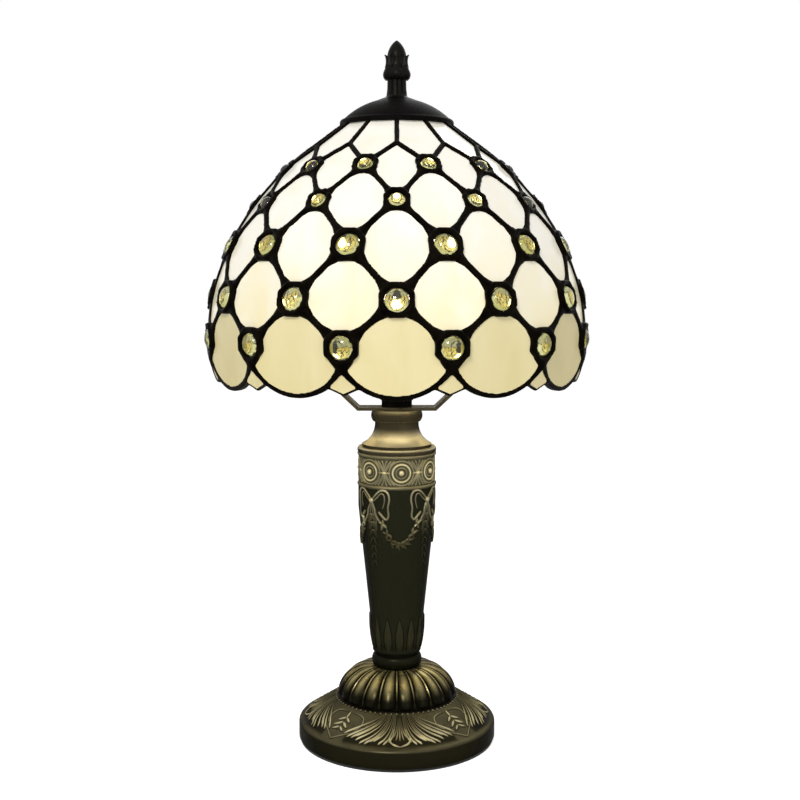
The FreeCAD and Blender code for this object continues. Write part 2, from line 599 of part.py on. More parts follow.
def bulb():
    """The bulb: tip contact, black glass insulator, rolled screw cap and hollow globe."""
    primitive("Cylinder", "bulb_tip", Radius="bulb_tip_radius", Height="contact_thickness",
              z=TIP_BOTTOM)
    insulator_bottom = f"{TIP_BOTTOM} + contact_thickness"
    root = "screw_radius - screw_depth"
    turned("bulb_insulator", [
        ("0", insulator_bottom),
        ("bulb_tip_radius", insulator_bottom),
        (root, SCREW_BOTTOM),
        ("0", SCREW_BOTTOM),
    ])
    turns = int(value("screw_height / screw_pitch"))
    thread = [(root, SCREW_BOTTOM)]
    for turn in range(turns):
        low = f"{SCREW_BOTTOM} + screw_pitch * {turn}"
        thread += [("screw_radius", f"{low} + screw_pitch / 2"), (root, f"{low} + screw_pitch")]
    if value(f"screw_height - screw_pitch * {turns}") > 0.01:
        thread.append((root, SCREW_TOP))
    turned("bulb_screw_cap", [("0", SCREW_BOTTOM)] + thread + [("0", SCREW_TOP)])
    neck_top = f"{SCREW_TOP} + bulb_neck_height"
    rise = "sqrt(bulb_radius ^ 2 - bulb_neck_top_radius ^ 2)"
    inner_rise = "sqrt((bulb_radius - bulb_wall) ^ 2 - (bulb_neck_top_radius - bulb_wall) ^ 2)"
    centre = f"{neck_top} + {rise}"
    low_inner = f"{centre} - {inner_rise}"
    turned("bulb_globe", [
        ("0", SCREW_TOP),
        ("bulb_neck_radius", SCREW_TOP),
        ("bulb_neck_top_radius", neck_top, "bulb_radius"),
        ("bulb_radius", centre, "bulb_radius"),
        ("0", f"{centre} + bulb_radius"),
        ("0", f"{centre} + bulb_radius - bulb_wall", "-(bulb_radius - bulb_wall)"),
        ("bulb_radius - bulb_wall", centre, "-(bulb_radius - bulb_wall)"),
        ("bulb_neck_top_radius - bulb_wall", low_inner),
        ("bulb_neck_radius - bulb_wall", f"{SCREW_TOP} + bulb_wall"),
        ("0", f"{SCREW_TOP} + bulb_wall"),
    ])


# Cap and finial ----------------------------------------------------------------------------------
def shade_cap():
    """The pressed metal cap over the shade's top opening."""
    lip_top = f"{CAP_SLOPE} - cap_roll"
    hole = "post_radius + post_fit"
    turned("shade_cap", [
        ("cap_radius - cap_wall", CAP_RIM),
        ("cap_radius", CAP_RIM),
        ("cap_radius", lip_top, "cap_roll"),
        ("cap_radius - cap_roll", CAP_SLOPE, "cap_curve"),
        ("cap_shoulder_radius", CAP_SHOULDER),
        ("cap_hub_radius", HUB_TOP),
        (hole, HUB_TOP),
        (hole, HUB_BOTTOM),
        ("cap_hub_radius - cap_wall / 2", HUB_BOTTOM),
        ("cap_shoulder_radius - cap_wall / 2", f"{CAP_SHOULDER} - cap_wall",
         "-(cap_curve - cap_wall)"),
        ("cap_radius - cap_wall - cap_roll / 2", f"{CAP_SLOPE} - cap_wall"),
        ("cap_radius - cap_wall", lip_top),
    ])


def finial():
    """The cast finial: foot, stem, two whorls of leaves and a pointed bud, tapped from below."""
    bore = "post_radius + post_fit"
    stem_bottom = f"{FINIAL_BOTTOM} + finial_foot_height"
    stem_top = f"{stem_bottom} + finial_stem_height"
    leaf_wide = f"{stem_top} + finial_leaf_rise"
    leaf_top = f"{leaf_wide} + finial_leaf_band + finial_leaf_fall"
    bud_wide = f"{leaf_top} + finial_bud_rise"
    bud_top = f"{bud_wide} + finial_bud_fall"
    tip_bottom = f"{bud_top} + finial_cheek_height"
    turned("finial", [
        (bore, FINIAL_BOTTOM),
        ("finial_foot_radius", FINIAL_BOTTOM),
        ("finial_stem_radius", stem_bottom),
        ("finial_stem_radius", stem_top),
        ("finial_leaf_radius", leaf_wide),
        ("finial_leaf_radius", f"{leaf_wide} + finial_leaf_band"),
        ("finial_waist_radius", leaf_top),
        ("finial_bud_radius", bud_wide),
        ("finial_cheek_radius", bud_top),
        ("finial_tip_radius", tip_bottom,
         "(finial_tip_radius ^ 2 + finial_tip_height ^ 2) / 2 / finial_tip_height"),
        ("0", f"{tip_bottom} + finial_tip_height"),
        ("0", f"{FINIAL_BOTTOM} + finial_bore_depth"),
        (bore, f"{FINIAL_BOTTOM} + finial_bore_depth"),
    ])


# Shade -------------------------------------------------------------------------------------------
class Shade:
    """The dome's geometry. Rings of joints alternate by half a sector, and every pane is flat."""

    def __init__(self):
        self.count = int(value("sectors"))
        self.half = math.pi / self.count
        self.shrink = math.cos(self.half)
        self.glass = value("pane_thickness")
        self.rise = self.glass / 2 + value("seam_bead")
        self.rings = self.joint_rings()

    def joint_rings(self):
        """(radius, height) of each ring of joints, from the crown to the lowest point.

        The first ring below the crown and the one after it are given. Each later one lies where
        the line from the ring two above it, through the middle of the chord of the ring above it,
        reaches its height, so that the four corners of a pane lie in one plane.
        """
        drops = [value(f"drop_{letter}") for letter in "abcdef"]
        rings = [(value("first_joint_radius"), 0.0), (value("first_row_radius"), -drops[0])]
        for drop in drops[1:]:
            (r0, z0), (r1, z1) = rings[-2:]
            share = (z1 - drop - z0) / (z1 - z0)
            rings.append((r0 + (self.shrink * r1 - r0) * share, z1 - drop))
        (r1, z1), (r2, z2) = rings[:2]
        slope = (z1 - z2) / (r2 - self.shrink * r1)
        crown = value("crown_radius")
        z0 = z1 + self.shrink * (r1 - crown) * slope
        seat = (self.rise * math.hypot(1, slope)
                - self.shrink * (value("cap_radius") - crown) * slope)
        shift = value(CAP_RIM) - value("turning_gap") - seat - z0
        return [(crown, z0 + shift)] + [(r, z + shift) for r, z in rings]

    def joint(self, ring, step):
        """The joint of a ring at a number of half sectors from the front."""
        radius, height = self.rings[ring]
        return spot(radius, step * self.half, height)

    def jewel_axis(self, ring):
        """Outward direction at a joint of a ring, in the upright plane through it: (out, up)."""
        (r0, z0), (r1, z1) = self.rings[ring - 1], self.rings[ring + 1]
        along = Vector(self.shrink * (r1 - r0), z1 - z0, 0).normalize()
        return Vector(-along.y, along.x, 0)

    def seam_width(self, ring):
        """Width of the seams that leave a ring downwards."""
        if ring == 0:
            return value("seam_fine")
        return value("seam_upper") if ring <= 2 else value("seam_lower")

    def jewel_radius(self, ring):
        return value("jewel_small") if ring <= 3 else value("jewel_large")

    def surround(self, ring):
        """Half width of the solder round a jewel."""
        extra = value("surround_small") if ring <= 3 else value("surround_large")
        return self.jewel_radius(ring) + extra


def spot(radius, angle, height):
    """A point at a radius and an angle from the front, which is towards -Y."""
    return Vector(radius * math.sin(angle), -radius * math.cos(angle), height)


class PaneFrame:
    """A pane's own axes: u to the right, v up the slope and n outwards, about an origin."""

    def __init__(self, origin, up_point, angle):
        self.origin = origin
        self.u = Vector(math.cos(angle), math.sin(angle), 0)
        self.v = (up_point - origin).normalize()
        self.n = self.u.cross(self.v)

    def flat(self, point):
        """(u, v) of a point in space."""
        return ((point - self.origin).dot(self.u), (point - self.origin).dot(self.v))

    def place(self, u, v, n=0.0):
        return self.origin + self.u * u + self.v * v + self.n * n


def clip(polygon, point, normal):
    """The part of a flat polygon on the side of a line that its normal points away from."""
    kept = []
    for a, b in zip(polygon, polygon[1:] + polygon[:1]):
        da = (a[0] - point[0]) * normal[0] + (a[1] - point[1]) * normal[1]
        db = (b[0] - point[0]) * normal[0] + (b[1] - point[1]) * normal[1]
        if da <= 0:
            kept.append(a)
        if (da < 0 < db) or (db < 0 < da):
            share = da / (da - db)
            kept.append((a[0] + (b[0] - a[0]) * share, a[1] + (b[1] - a[1]) * share))
    return kept


def slab(frame, polygon, low, high):
    """A flat polygon in a pane's axes, given thickness from n = low to n = high."""
    points = [frame.place(u, v, low) for u, v in polygon]
    face = Part.Face(Part.makePolygon(points + points[:1]))
    return face.extrude(frame.n * (high - low))


def inset(corners, gap):
    """A convex polygon, anticlockwise, with every side moved inwards by the gap."""
    result = list(corners)
    for a, b in zip(corners, corners[1:] + corners[:1]):
        length = math.hypot(b[0] - a[0], b[1] - a[1])
        out = ((b[1] - a[1]) / length, -(b[0] - a[0]) / length)
        result = clip(result, (a[0] - out[0] * gap, a[1] - out[1] * gap), out)
    return result


def cut_corner(polygon, corner, centre, distance):
    """Cuts a polygon's corner off square to the line from the corner to the pane's middle."""
    length = math.hypot(corner[0] - centre[0], corner[1] - centre[1])
    out = ((corner[0] - centre[0]) / length, (corner[1] - centre[1]) / length)
    return clip(polygon, (corner[0] - out[0] * distance, corner[1] - out[1] * distance), out)


def pane_shape(shade, row):
    """One pane of a row, at the front or half a sector beside it, with its frame.

    Row 0 hangs from the crown, rows 1 to 4 are four-sided between jewels, and row 5 ends in the
    round scallop.
    """
    side_ring = row + 1 if row else 1
    step = 1 if row % 2 == 0 else 0
    angle = step * shade.half
    right, left = shade.joint(side_ring, step + 1), shade.joint(side_ring, step - 1)
    if row:
        up = shade.joint(row, step)
    else:
        up = (shade.joint(0, 0) + shade.joint(0, 2)) * 0.5
    frame = PaneFrame((right + left) * 0.5, up, angle)
    corners = [frame.flat(p) for p in (left, shade.joint(side_ring + 1, step), right)]
    if row:
        corners.append(frame.flat(up))
    else:
        corners += [frame.flat(shade.joint(0, 2)), frame.flat(shade.joint(0, 0))]
    lip = value("surround_lip")
    gap = value("seam_web") / 2
    if row == 5:
        return scallop_pane(shade, frame, corners, gap, lip), frame
    outline = inset(corners, gap)
    if row:
        outline = corner_cuts(shade, outline, corners, (row + 1, row + 2, row + 1, row), lip)
    else:
        outline = corner_cuts(shade, outline, corners[:3], (1, 2, 1), lip)
    half_glass = shade.glass / 2
    return slab(frame, outline, -half_glass, half_glass), frame


def corner_cuts(shade, outline, corners, rings, lip):
    """The corners of a pane cut off where a jewel's surround covers them."""
    middle = (0.0, sum(v for u, v in outline) / len(outline))
    for corner, ring in zip(corners, rings):
        if 2 <= ring <= 6:
            outline = cut_corner(outline, corner, middle, shade.surround(ring) - lip)
    return outline


def rim_circle(shade, frame):
    """Centre height and radius of the line that the rim follows under a scalloped pane."""
    radius = value("scallop_radius")
    lowest = frame.flat(shade.joint(7, 0))[1]
    return lowest + radius, radius


def scallop_pane(shade, frame, corners, gap, lip):
    """The lowest pane: straight sides above, a round bottom below the fifth ring of jewels."""
    left, lowest, right, top = corners
    fork = frame.flat(tail_point(shade, 1))
    share = lowest[1] / fork[1]
    deep = (right[0] + (fork[0] - right[0]) * share, lowest[1])
    outline = inset([left, (-deep[0], deep[1]), deep, right, top], gap)
    outline = corner_cuts(shade, outline, [top], (5,), lip)
    prism = slab(frame, outline, -shade.glass / 2, shade.glass / 2)
    for side in (-1, 1):
        prism = prism.cut(surround_block(shade, 6, side, lip))
    centre, radius = rim_circle(shade, frame)
    disc = Part.makeCylinder(radius - gap, shade.glass * 2,
                             frame.place(0, centre, -shade.glass), frame.n)
    return prism.common(disc)


def tail_point(shade, step):
    """Where the seam below a fifth-ring jewel forks, in the plane of the scalloped pane."""
    joint = shade.joint(6, 0)
    below = (shade.joint(7, 0) - (shade.joint(6, 1) + shade.joint(6, -1)) * 0.5).normalize()
    drop = value("tail_drop")
    point = joint + Vector(0, 0, -drop)
    radius = math.hypot(*((shade.joint(6, 1) + shade.joint(6, -1)) * 0.5)[:2])
    radius -= drop * math.hypot(below.x, below.y) / abs(below.z)
    return spot(radius / shade.shrink, step * shade.half, point.z)


def wedge_corners(shade):
    """The small wedge at the rim: its fork, its two side corners on the rims, and its point."""
    fork = tail_point(shade, 1)
    pane = PaneFrame((shade.joint(6, 1) + shade.joint(6, -1)) * 0.5, shade.joint(5, 0), 0.0)
    centre, radius = rim_circle(shade, pane)
    across = pane.flat(fork)[0] - value("wedge_half_width")
    left = pane.place(across, centre - math.sqrt(radius ** 2 - across ** 2))
    mirror = Vector(math.sin(shade.half), -math.cos(shade.half), 0)
    side = mirror.cross(UP).normalize()
    right = left - side * (2 * left.dot(side))
    frame = PaneFrame((left + right) * 0.5, fork, shade.half)
    tip = frame.place(0, frame.flat(fork)[1] - value("wedge_height"))
    return frame, [frame.flat(left), frame.flat(tip), frame.flat(right), frame.flat(fork)]


def bar(start, end, normal, width, rise):
    """A straight seam: an eight-sided rod from start to end, flat side outwards."""
    along = (end - start).normalize()
    across = along.cross(normal).normalize()
    out = across.cross(along)
    half, shoulder = width / 2, value("seam_flat")
    corners = [(1, shoulder), (shoulder, 1), (-shoulder, 1), (-1, shoulder),
               (-1, -shoulder), (-shoulder, -1), (shoulder, -1), (1, -shoulder)]
    points = [start + across * (half * a) + out * (rise * b) for a, b in corners]
    face = Part.Face(Part.makePolygon(points + points[:1]))
    return face.extrude(end - start)


def surround_block(shade, ring, step, less=0.0):
    """The eight-sided solder block round a jewel, its flats facing the cut corners of the panes.

    It can be made smaller by a length on every side.
    """
    axis = shade.jewel_axis(ring)
    angle = step * shade.half
    normal = spot(axis.x, angle, axis.y)
    side = Vector(math.cos(angle), math.sin(angle), 0)
    up = normal.cross(side)
    centre = shade.joint(ring, step)
    reach = (shade.surround(ring) - less) / math.cos(math.pi / 8)
    points = []
    for corner in range(8):
        turn = math.pi / 8 + corner * math.pi / 4
        points.append(centre + side * (reach * math.cos(turn)) + up * (reach * math.sin(turn)))
    face = Part.Face(Part.makePolygon(points + points[:1]))
    face.translate(normal * -shade.rise)
    return face.extrude(normal * (2 * shade.rise))


def jewel_shape(shade, ring, step):
    """One jewel: a girdle as thick as the glass, a ball-shaped front and a low cone behind."""
    radius = shade.jewel_radius(ring)
    dome = value("jewel_dome")
    girdle = shade.glass / 2
    ball = (radius ** 2 + dome ** 2) / 2 / dome
    half_way = radius / 2
    crest = girdle + dome - ball + math.sqrt(ball ** 2 - half_way ** 2)
    top, back = Vector(0, 0, girdle + dome), Vector(0, 0, -girdle - value("jewel_back"))
    front_edge, back_edge = Vector(radius, 0, girdle), Vector(radius, 0, -girdle)
    outline = [
        Part.LineSegment(back, top).toShape(),
        Part.Arc(top, Vector(half_way, 0, crest), front_edge).toShape(),
        Part.LineSegment(front_edge, back_edge).toShape(),
        Part.LineSegment(back_edge, back).toShape(),
    ]
    solid = Part.makeSolid(Part.Shell(
        Part.Face(Part.Wire(outline)).revolve(Vector(), UP, 360).Faces))
    axis = shade.jewel_axis(ring)
    angle = step * shade.half
    turn = FreeCAD.Rotation(UP, spot(axis.x, angle, axis.y))
    solid.Placement = FreeCAD.Placement(shade.joint(ring, step), turn)
    return solid


def bore_for(shade, ring, step):
    """The hole in the solder that a jewel sits in."""
    axis = shade.jewel_axis(ring)
    normal = spot(axis.x, step * shade.half, axis.y)
    return Part.makeCylinder(shade.jewel_radius(ring) + value("jewel_fit"), shade.rise * 4,
                             shade.joint(ring, step) - normal * (shade.rise * 2), normal)


def sector_wedge(shade):
    """The upright wedge of space from the front to half a sector to the right of it."""
    reach = 2 * max(radius for radius, height in shade.rings)
    low, high = shade.rings[7][1] - reach, shade.rings[0][1] + reach
    points = [Vector(0, 0, low), spot(reach, 0, low), spot(reach, shade.half, low)]
    return Part.Face(Part.makePolygon(points + points[:1])).extrude(UP * (high - low))


def seam_parts(shade, frames):
    """Every seam and surround that reaches into the half sector right of the front."""
    parts = []
    for ring in range(6):
        width = shade.seam_width(ring)
        if ring == 0:
            normal = frames[0].n + frames[0].n.sub(Vector(2 * frames[0].n.x, 0, 0))
            parts.append(bar(shade.joint(0, 0), shade.joint(1, 0), normal, width, shade.rise))
            continue
        start_step = 0 if ring % 2 else 1
        above = frames[ring - 1].n
        below = frames[ring].n
        parts.append(bar(shade.joint(ring, start_step), shade.joint(ring + 1, 1 - start_step),
                         above + below, width, shade.rise))
    parts += [surround_block(shade, ring, ring % 2 == 0) for ring in range(2, 7)]
    width = shade.seam_width(6)
    fork = tail_point(shade, 1)
    outward = spot(1, shade.half, 0)
    parts.append(bar(shade.joint(6, 1), fork, outward, width, shade.rise))
    parts.append(rim_arc(shade, frames[5], fork, width))
    wedge_frame, (left, tip, right, top) = wedge_corners(shade)
    low, side = wedge_frame.place(*tip), wedge_frame.place(*left)
    reach = (low - side).normalize() * (width / 4)
    parts.append(bar(side - reach, low + reach, wedge_frame.n, value("seam_wedge"), shade.rise))
    return parts


def rim_arc(shade, frame, fork, width):
    """The seam that follows the round bottom of a scalloped pane, below the fork."""
    centre, radius = rim_circle(shade, frame)
    at = frame.place(0, centre, -shade.rise)
    ring = Part.makeCylinder(radius + width / 2, shade.rise * 2, at, frame.n)
    ring = ring.cut(Part.makeCylinder(radius - width / 2, shade.rise * 2, at, frame.n))
    reach = radius * 2
    fork_v = frame.flat(fork)[1]
    lower = slab(frame, [(-reach, fork_v - reach), (reach, fork_v - reach), (reach, fork_v),
                         (-reach, fork_v)], -shade.rise * 2, shade.rise * 2)
    return ring.common(lower)


def all_round(shade, shape):
    """Copies of a shape at every sector."""
    copies = []
    for sector in range(shade.count):
        copy = shape.copy()
        copy.rotate(Vector(), UP, 360.0 * sector / shade.count)
        copies.append(copy)
    return copies


def solder_net(shade, panes, frames):
    """The whole net of seams as one solid, from one half sector mirrored and turned."""
    wedge = sector_wedge(shade)
    parts = [part.common(wedge) for part in seam_parts(shade, frames)]
    half = parts[0].multiFuse(parts[1:])
    bores = [bore_for(shade, ring, ring % 2 == 0) for ring in range(2, 7)]
    half = half.cut(Part.makeCompound(panes + bores))
    mirrored = half.mirror(Vector(), Vector(1, 0, 0))
    pieces = all_round(shade, half) + all_round(shade, mirrored)
    return pieces[0].multiFuse(pieces[1:])


def shade_glass():
    """The panes, jewels, solder net and crown ring of the shade."""
    shade = Shade()
    rows, frames = [], []
    for row in range(6):
        pane, frame = pane_shape(shade, row)
        rows.append(pane)
        frames.append(frame)
    wedge_frame, corners = wedge_corners(shade)
    wedge = slab(wedge_frame, inset(corners, value("seam_web") / 2),
                 -shade.glass / 2, shade.glass / 2)
    names = ["crown_panes", "first_panes", "second_panes", "third_panes", "fourth_panes",
             "scallop_panes", "rim_wedge_panes"]
    for name, pane in zip(names, rows + [wedge]):
        shaped(name, Part.makeCompound(all_round(shade, pane)))
    words = ["first", "second", "third", "fourth", "fifth"]
    for word, ring in zip(words, range(2, 7)):
        jewel = jewel_shape(shade, ring, ring % 2 == 0)
        shaped(f"{word}_jewels", Part.makeCompound(all_round(shade, jewel)))
    shaped("solder_net", solder_net(shade, rows + [wedge], frames))
    wire = value("crown_ring_wire")
    top = frames[0].flat(shade.joint(0, 0))[1] - value("seam_web") / 2
    seat = frames[0].place(0, top + wire + value("jewel_fit"))
    ring = Part.makeTorus(math.hypot(seat.x, seat.y), wire, Vector(0, 0, seat.z))
    shaped("crown_ring", ring)


NODES = [
    "felt_pad", "foot_casting", "ballast_plate", "clamp_washer", "clamp_nut", "threaded_tube",
    "cord_bushing", "column_casting", "neck_cap", "harp", "harp_nut", "shade_post", "post_nut",
    "holder_cap", "holder_shell", "holder_core", "centre_contact", "screw_shell",
    "bulb_tip", "bulb_insulator", "bulb_screw_cap", "bulb_globe", "shade_cap", "finial",
    "crown_panes", "first_panes", "second_panes", "third_panes", "fourth_panes",
    "scallop_panes", "rim_wedge_panes", "first_jewels", "second_jewels", "third_jewels",
    "fourth_jewels", "fifth_jewels", "solder_net", "crown_ring",
]


def check_and_write():
    """Stops at a failed object or a bad shape, and writes each node's solids."""
    doc.recompute()
    for item in doc.Objects:
        if "Invalid" in item.State or "Error" in item.State:
            raise ValueError(f"{item.Name} failed: {item.State}")
    os.makedirs("parts", exist_ok=True)
    for name in NODES:
        shape = doc.getObjectsByLabel(name)[0].Shape
        if shape.isNull() or not shape.isValid() or not shape.Solids:
            raise ValueError(f"{name} has no valid solid")
        shape.exportStep(f"parts/{name}.step")
        print(f"{name}: {len(shape.Solids)} solids, {shape.Volume:.0f} mm3")


foot_casting()
cord_bushing()
column_casting()
neck_cap()
clamp_stack()
harp()
shade_post()
lampholder()
bulb()
shade_cap()
finial()
shade_glass()
check_and_write()
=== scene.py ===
# %% [markdown]
# # A table lamp with a leaded glass shade
#
# The lamp is a heavy cast foot and column, finished as antique bronze, under a dome of opal glass
# and glass jewels in dark solder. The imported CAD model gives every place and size. This lesson
# dresses it: smooth turned castings, hand-made ornament, rounded solder, faceted jewels and lit
# glass.

import json
import math

import bpy
import numpy as np
from mathutils import Matrix, Vector

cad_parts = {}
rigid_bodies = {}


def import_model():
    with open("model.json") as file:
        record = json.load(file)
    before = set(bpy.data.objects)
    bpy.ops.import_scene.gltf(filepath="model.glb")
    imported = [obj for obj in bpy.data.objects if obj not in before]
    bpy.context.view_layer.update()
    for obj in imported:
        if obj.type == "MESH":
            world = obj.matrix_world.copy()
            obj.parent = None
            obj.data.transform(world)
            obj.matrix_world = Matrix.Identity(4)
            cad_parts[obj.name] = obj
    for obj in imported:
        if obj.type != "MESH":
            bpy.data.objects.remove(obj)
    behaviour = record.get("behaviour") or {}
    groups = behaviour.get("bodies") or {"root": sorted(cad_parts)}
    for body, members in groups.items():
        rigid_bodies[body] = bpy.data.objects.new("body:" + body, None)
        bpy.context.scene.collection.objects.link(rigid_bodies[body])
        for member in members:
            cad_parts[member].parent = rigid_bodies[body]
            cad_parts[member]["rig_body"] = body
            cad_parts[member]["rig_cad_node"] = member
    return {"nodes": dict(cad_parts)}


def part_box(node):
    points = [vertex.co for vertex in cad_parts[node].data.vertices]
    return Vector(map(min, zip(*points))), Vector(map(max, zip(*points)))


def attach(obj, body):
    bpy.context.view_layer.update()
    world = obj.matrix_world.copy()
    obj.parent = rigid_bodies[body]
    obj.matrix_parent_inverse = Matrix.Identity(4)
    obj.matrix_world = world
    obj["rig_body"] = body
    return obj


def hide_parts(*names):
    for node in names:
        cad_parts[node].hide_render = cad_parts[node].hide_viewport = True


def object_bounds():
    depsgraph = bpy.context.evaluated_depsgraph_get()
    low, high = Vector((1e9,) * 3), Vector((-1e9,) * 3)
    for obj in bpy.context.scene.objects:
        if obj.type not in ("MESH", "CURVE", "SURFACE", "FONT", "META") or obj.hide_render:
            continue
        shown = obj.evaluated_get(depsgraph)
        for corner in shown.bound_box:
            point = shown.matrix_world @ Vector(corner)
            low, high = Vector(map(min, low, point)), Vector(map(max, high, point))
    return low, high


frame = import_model()
cad_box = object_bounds()
bpy.ops.object.select_all(action="DESELECT")
MM = 0.001
print("CAD box in mm:", [[round(c / MM, 1) for c in corner] for corner in cad_box])

# %% [markdown]
# ## Small helpers
#
# Every piece is made with the same few moves, so they get names. An operator acts on whatever is
# selected, so a helper first clears the selection and then makes one object active. A finished
# piece keeps its place in its mesh, with its own origin at the middle of the lamp's foot.

# %% Selecting, finishing and riding
FRONT = -math.pi / 2


def only(*objects):
    """Selects these objects and nothing else. The first one is active."""
    bpy.ops.object.select_all(action="DESELECT")
    for piece in objects:
        piece.select_set(True)
    bpy.context.view_layer.objects.active = objects[0]
    return objects[0]


def apply_modifier(piece, kind, **settings):
    """Adds one modifier with its settings and applies it."""
    only(piece)
    modifier = piece.modifiers.new(kind.title(), kind)
    for name, setting in settings.items():
        setattr(modifier, name, setting)
    bpy.ops.object.modifier_apply(modifier=modifier.name)
    return piece


def joined(name, pieces):
    """Joins pieces into one object with this name."""
    only(*pieces)
    if len(pieces) > 1:
        bpy.ops.object.join()
    result = bpy.context.active_object
    result.name = result.data.name = name
    return result


def settle(piece):
    """Puts the piece's place into its mesh, so that its origin is the lamp's."""
    only(piece)
    bpy.ops.object.transform_apply(location=True, rotation=True, scale=True)
    return piece


def smooth(piece, angle=35):
    """Smooth shading, apart from edges sharper than the angle in degrees."""
    only(piece)
    bpy.ops.object.shade_smooth_by_angle(angle=math.radians(angle))
    return piece


def dress(piece, body, material, slot, *nodes):
    """Gives a finished piece its material, the body it rides on and the nodes it stands for."""
    piece.data.materials.clear()
    piece.data.materials.append(material)
    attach(piece, body)
    if nodes:
        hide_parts(*nodes)
    print(piece.name, len(piece.data.polygons), "faces on", body)
    return piece


# %% [markdown]
# ## Materials
#
# Colours are written as the familiar sRGB hex values and turned to the linear light that the
# shader works in. One helper adds a node, sets its inputs and links others into it, so that a
# material reads as a short list.

# %% Colour and node helpers
def linear(hex_colour):
    """An sRGB hex colour as linear red, green, blue and alpha."""
    channels = [int(hex_colour[i:i + 2], 16) / 255 for i in (1, 3, 5)]
    return [c / 12.92 if c <= 0.04045 else ((c + 0.055) / 1.055) ** 2.4 for c in channels] + [1.0]


def add_node(material, kind, settings=None, **inputs):
    """Adds a node. Settings are its own, inputs are values or (node, socket) to link from."""
    tree = material.node_tree
    node = tree.nodes.new(kind)
    for name, setting in (settings or {}).items():
        setattr(node, name, setting)
    for name, given in inputs.items():
        socket = node.inputs[int(name[1:])] if name[0] == "i" and name[1:].isdigit() \
            else node.inputs[name.replace("_", " ")]
        if isinstance(given, tuple) and isinstance(given[0], bpy.types.Node):
            tree.links.new(given[0].outputs[given[1]], socket)
        else:
            socket.default_value = given
    return node


def new_material(name, **inputs):
    """An empty material with one Principled shader, whose plain sockets are set by name."""
    material = bpy.data.materials.new(name)
    material.use_nodes = True
    shader = material.node_tree.nodes["Principled BSDF"]
    for socket, given in inputs.items():
        shader.inputs[socket.replace("_", " ")].default_value = given
    return material, shader


def link(material, node, output, shader, socket):
    """Links a node's output into a shader's socket."""
    material.node_tree.links.new(node.outputs[output], shader.inputs[socket])


def blend_ramp(node, *stops):
    """Sets a colour ramp's stops as (position, hex colour)."""
    ramp = node.color_ramp
    while len(ramp.elements) < len(stops):
        ramp.elements.new(0.5)
    for element, (position, colour) in zip(ramp.elements, stops):
        element.position, element.color = position, linear(colour)
    return node


def per_metre(millimetres):
    """The scale of a texture whose pattern repeats about once in this many millimetres."""
    return 1 / (millimetres * MM)


# %% [markdown]
# ### Antique bronze
#
# The castings are zinc alloy with a dark olive bronze lacquer. Before the lacquer dries the high
# spots are rubbed back to a dull gold, and the creases keep a dark waxed coat. Each ornament
# carries its height off the ground as an attribute called relief, from 0 in a crease over 0.35 on
# plain ground to 1 on a crest, so the colour follows the carving. The darkest colour in a crease
# stands partly for that waxed coat and partly for painted shade. Faces that look up get extra gold
# as a painted highlight from the light above, and all the gold is scaled by height as painted
# light: it grows upwards on bell and column, towards the lit shade, and downwards on the neck.

# %% Where the lacquer is rubbed through, and where light and shade are painted
def rub_and_painted_light(material, place, relief, mottle, crest, painted_toplight, painted_light_heights, edge_wear, creased):
    """How much gold shows, from 0 to 1: rubbed crests and edges, plus a painted highlight on
    faces that look up, all scaled by height as painted light.
    """
    raised = add_node(material, "ShaderNodeMapRange", Value=(relief, "Fac"),
                      From_Min=0.5, From_Max=1.0, To_Min=0.0, To_Max=crest)
    shape = add_node(material, "ShaderNodeNewGeometry")
    edge = add_node(material, "ShaderNodeMapRange", Value=(shape, "Pointiness"),
                    From_Min=0.515, From_Max=0.58, To_Min=0.0, To_Max=edge_wear)
    normal = add_node(material, "ShaderNodeSeparateXYZ", Vector=(shape, "Normal"))
    bare = add_node(material, "ShaderNodeMapRange", Value=(relief, "Fac"),
                    From_Min=0.1, From_Max=0.35, To_Min=0.0 if creased else 1.0, To_Max=1.0)
    # Painted highlight: faces that look up get gold, standing for light from above.
    painted_toplight_mask = add_node(material, "ShaderNodeMapRange", {"interpolation_type": "SMOOTHSTEP"},
                       Value=(normal, "Z"), From_Min=0.15, From_Max=0.95, To_Min=0.0,
                       To_Max=painted_toplight)
    up = add_node(material, "ShaderNodeMath", {"operation": "MULTIPLY"}, i0=(painted_toplight_mask, "Result"),
                  i1=(bare, "Result"))
    # Painted light: the gold is scaled by height between two levels in mm.
    spot = add_node(material, "ShaderNodeSeparateXYZ", Vector=(place, "Object"))
    painted_light_fade = add_node(material, "ShaderNodeMapRange", Value=(spot, "Z"),
                    From_Min=painted_light_heights[0] * MM, From_Max=painted_light_heights[1] * MM)
    carved = add_node(material, "ShaderNodeMath", {"operation": "MAXIMUM"}, i0=(raised, "Result"),
                      i1=(edge, "Result"))
    rub_and_toplight = add_node(material, "ShaderNodeMath", {"operation": "ADD"}, i0=(carved, "Value"),
                    i1=(up, "Value"))
    gold_scaled_by_painted_light = add_node(material, "ShaderNodeMath", {"operation": "MULTIPLY"}, i0=(rub_and_toplight, "Value"),
                     i1=(painted_light_fade, "Result"))
    patchy = add_node(material, "ShaderNodeMapRange", Value=(mottle, "Fac"),
                      From_Min=0.3, From_Max=0.7, To_Min=0.65, To_Max=1.15)
    return add_node(material, "ShaderNodeMath", {"operation": "MULTIPLY", "use_clamp": True},
                    i0=(gold_scaled_by_painted_light, "Value"), i1=(patchy, "Result"))


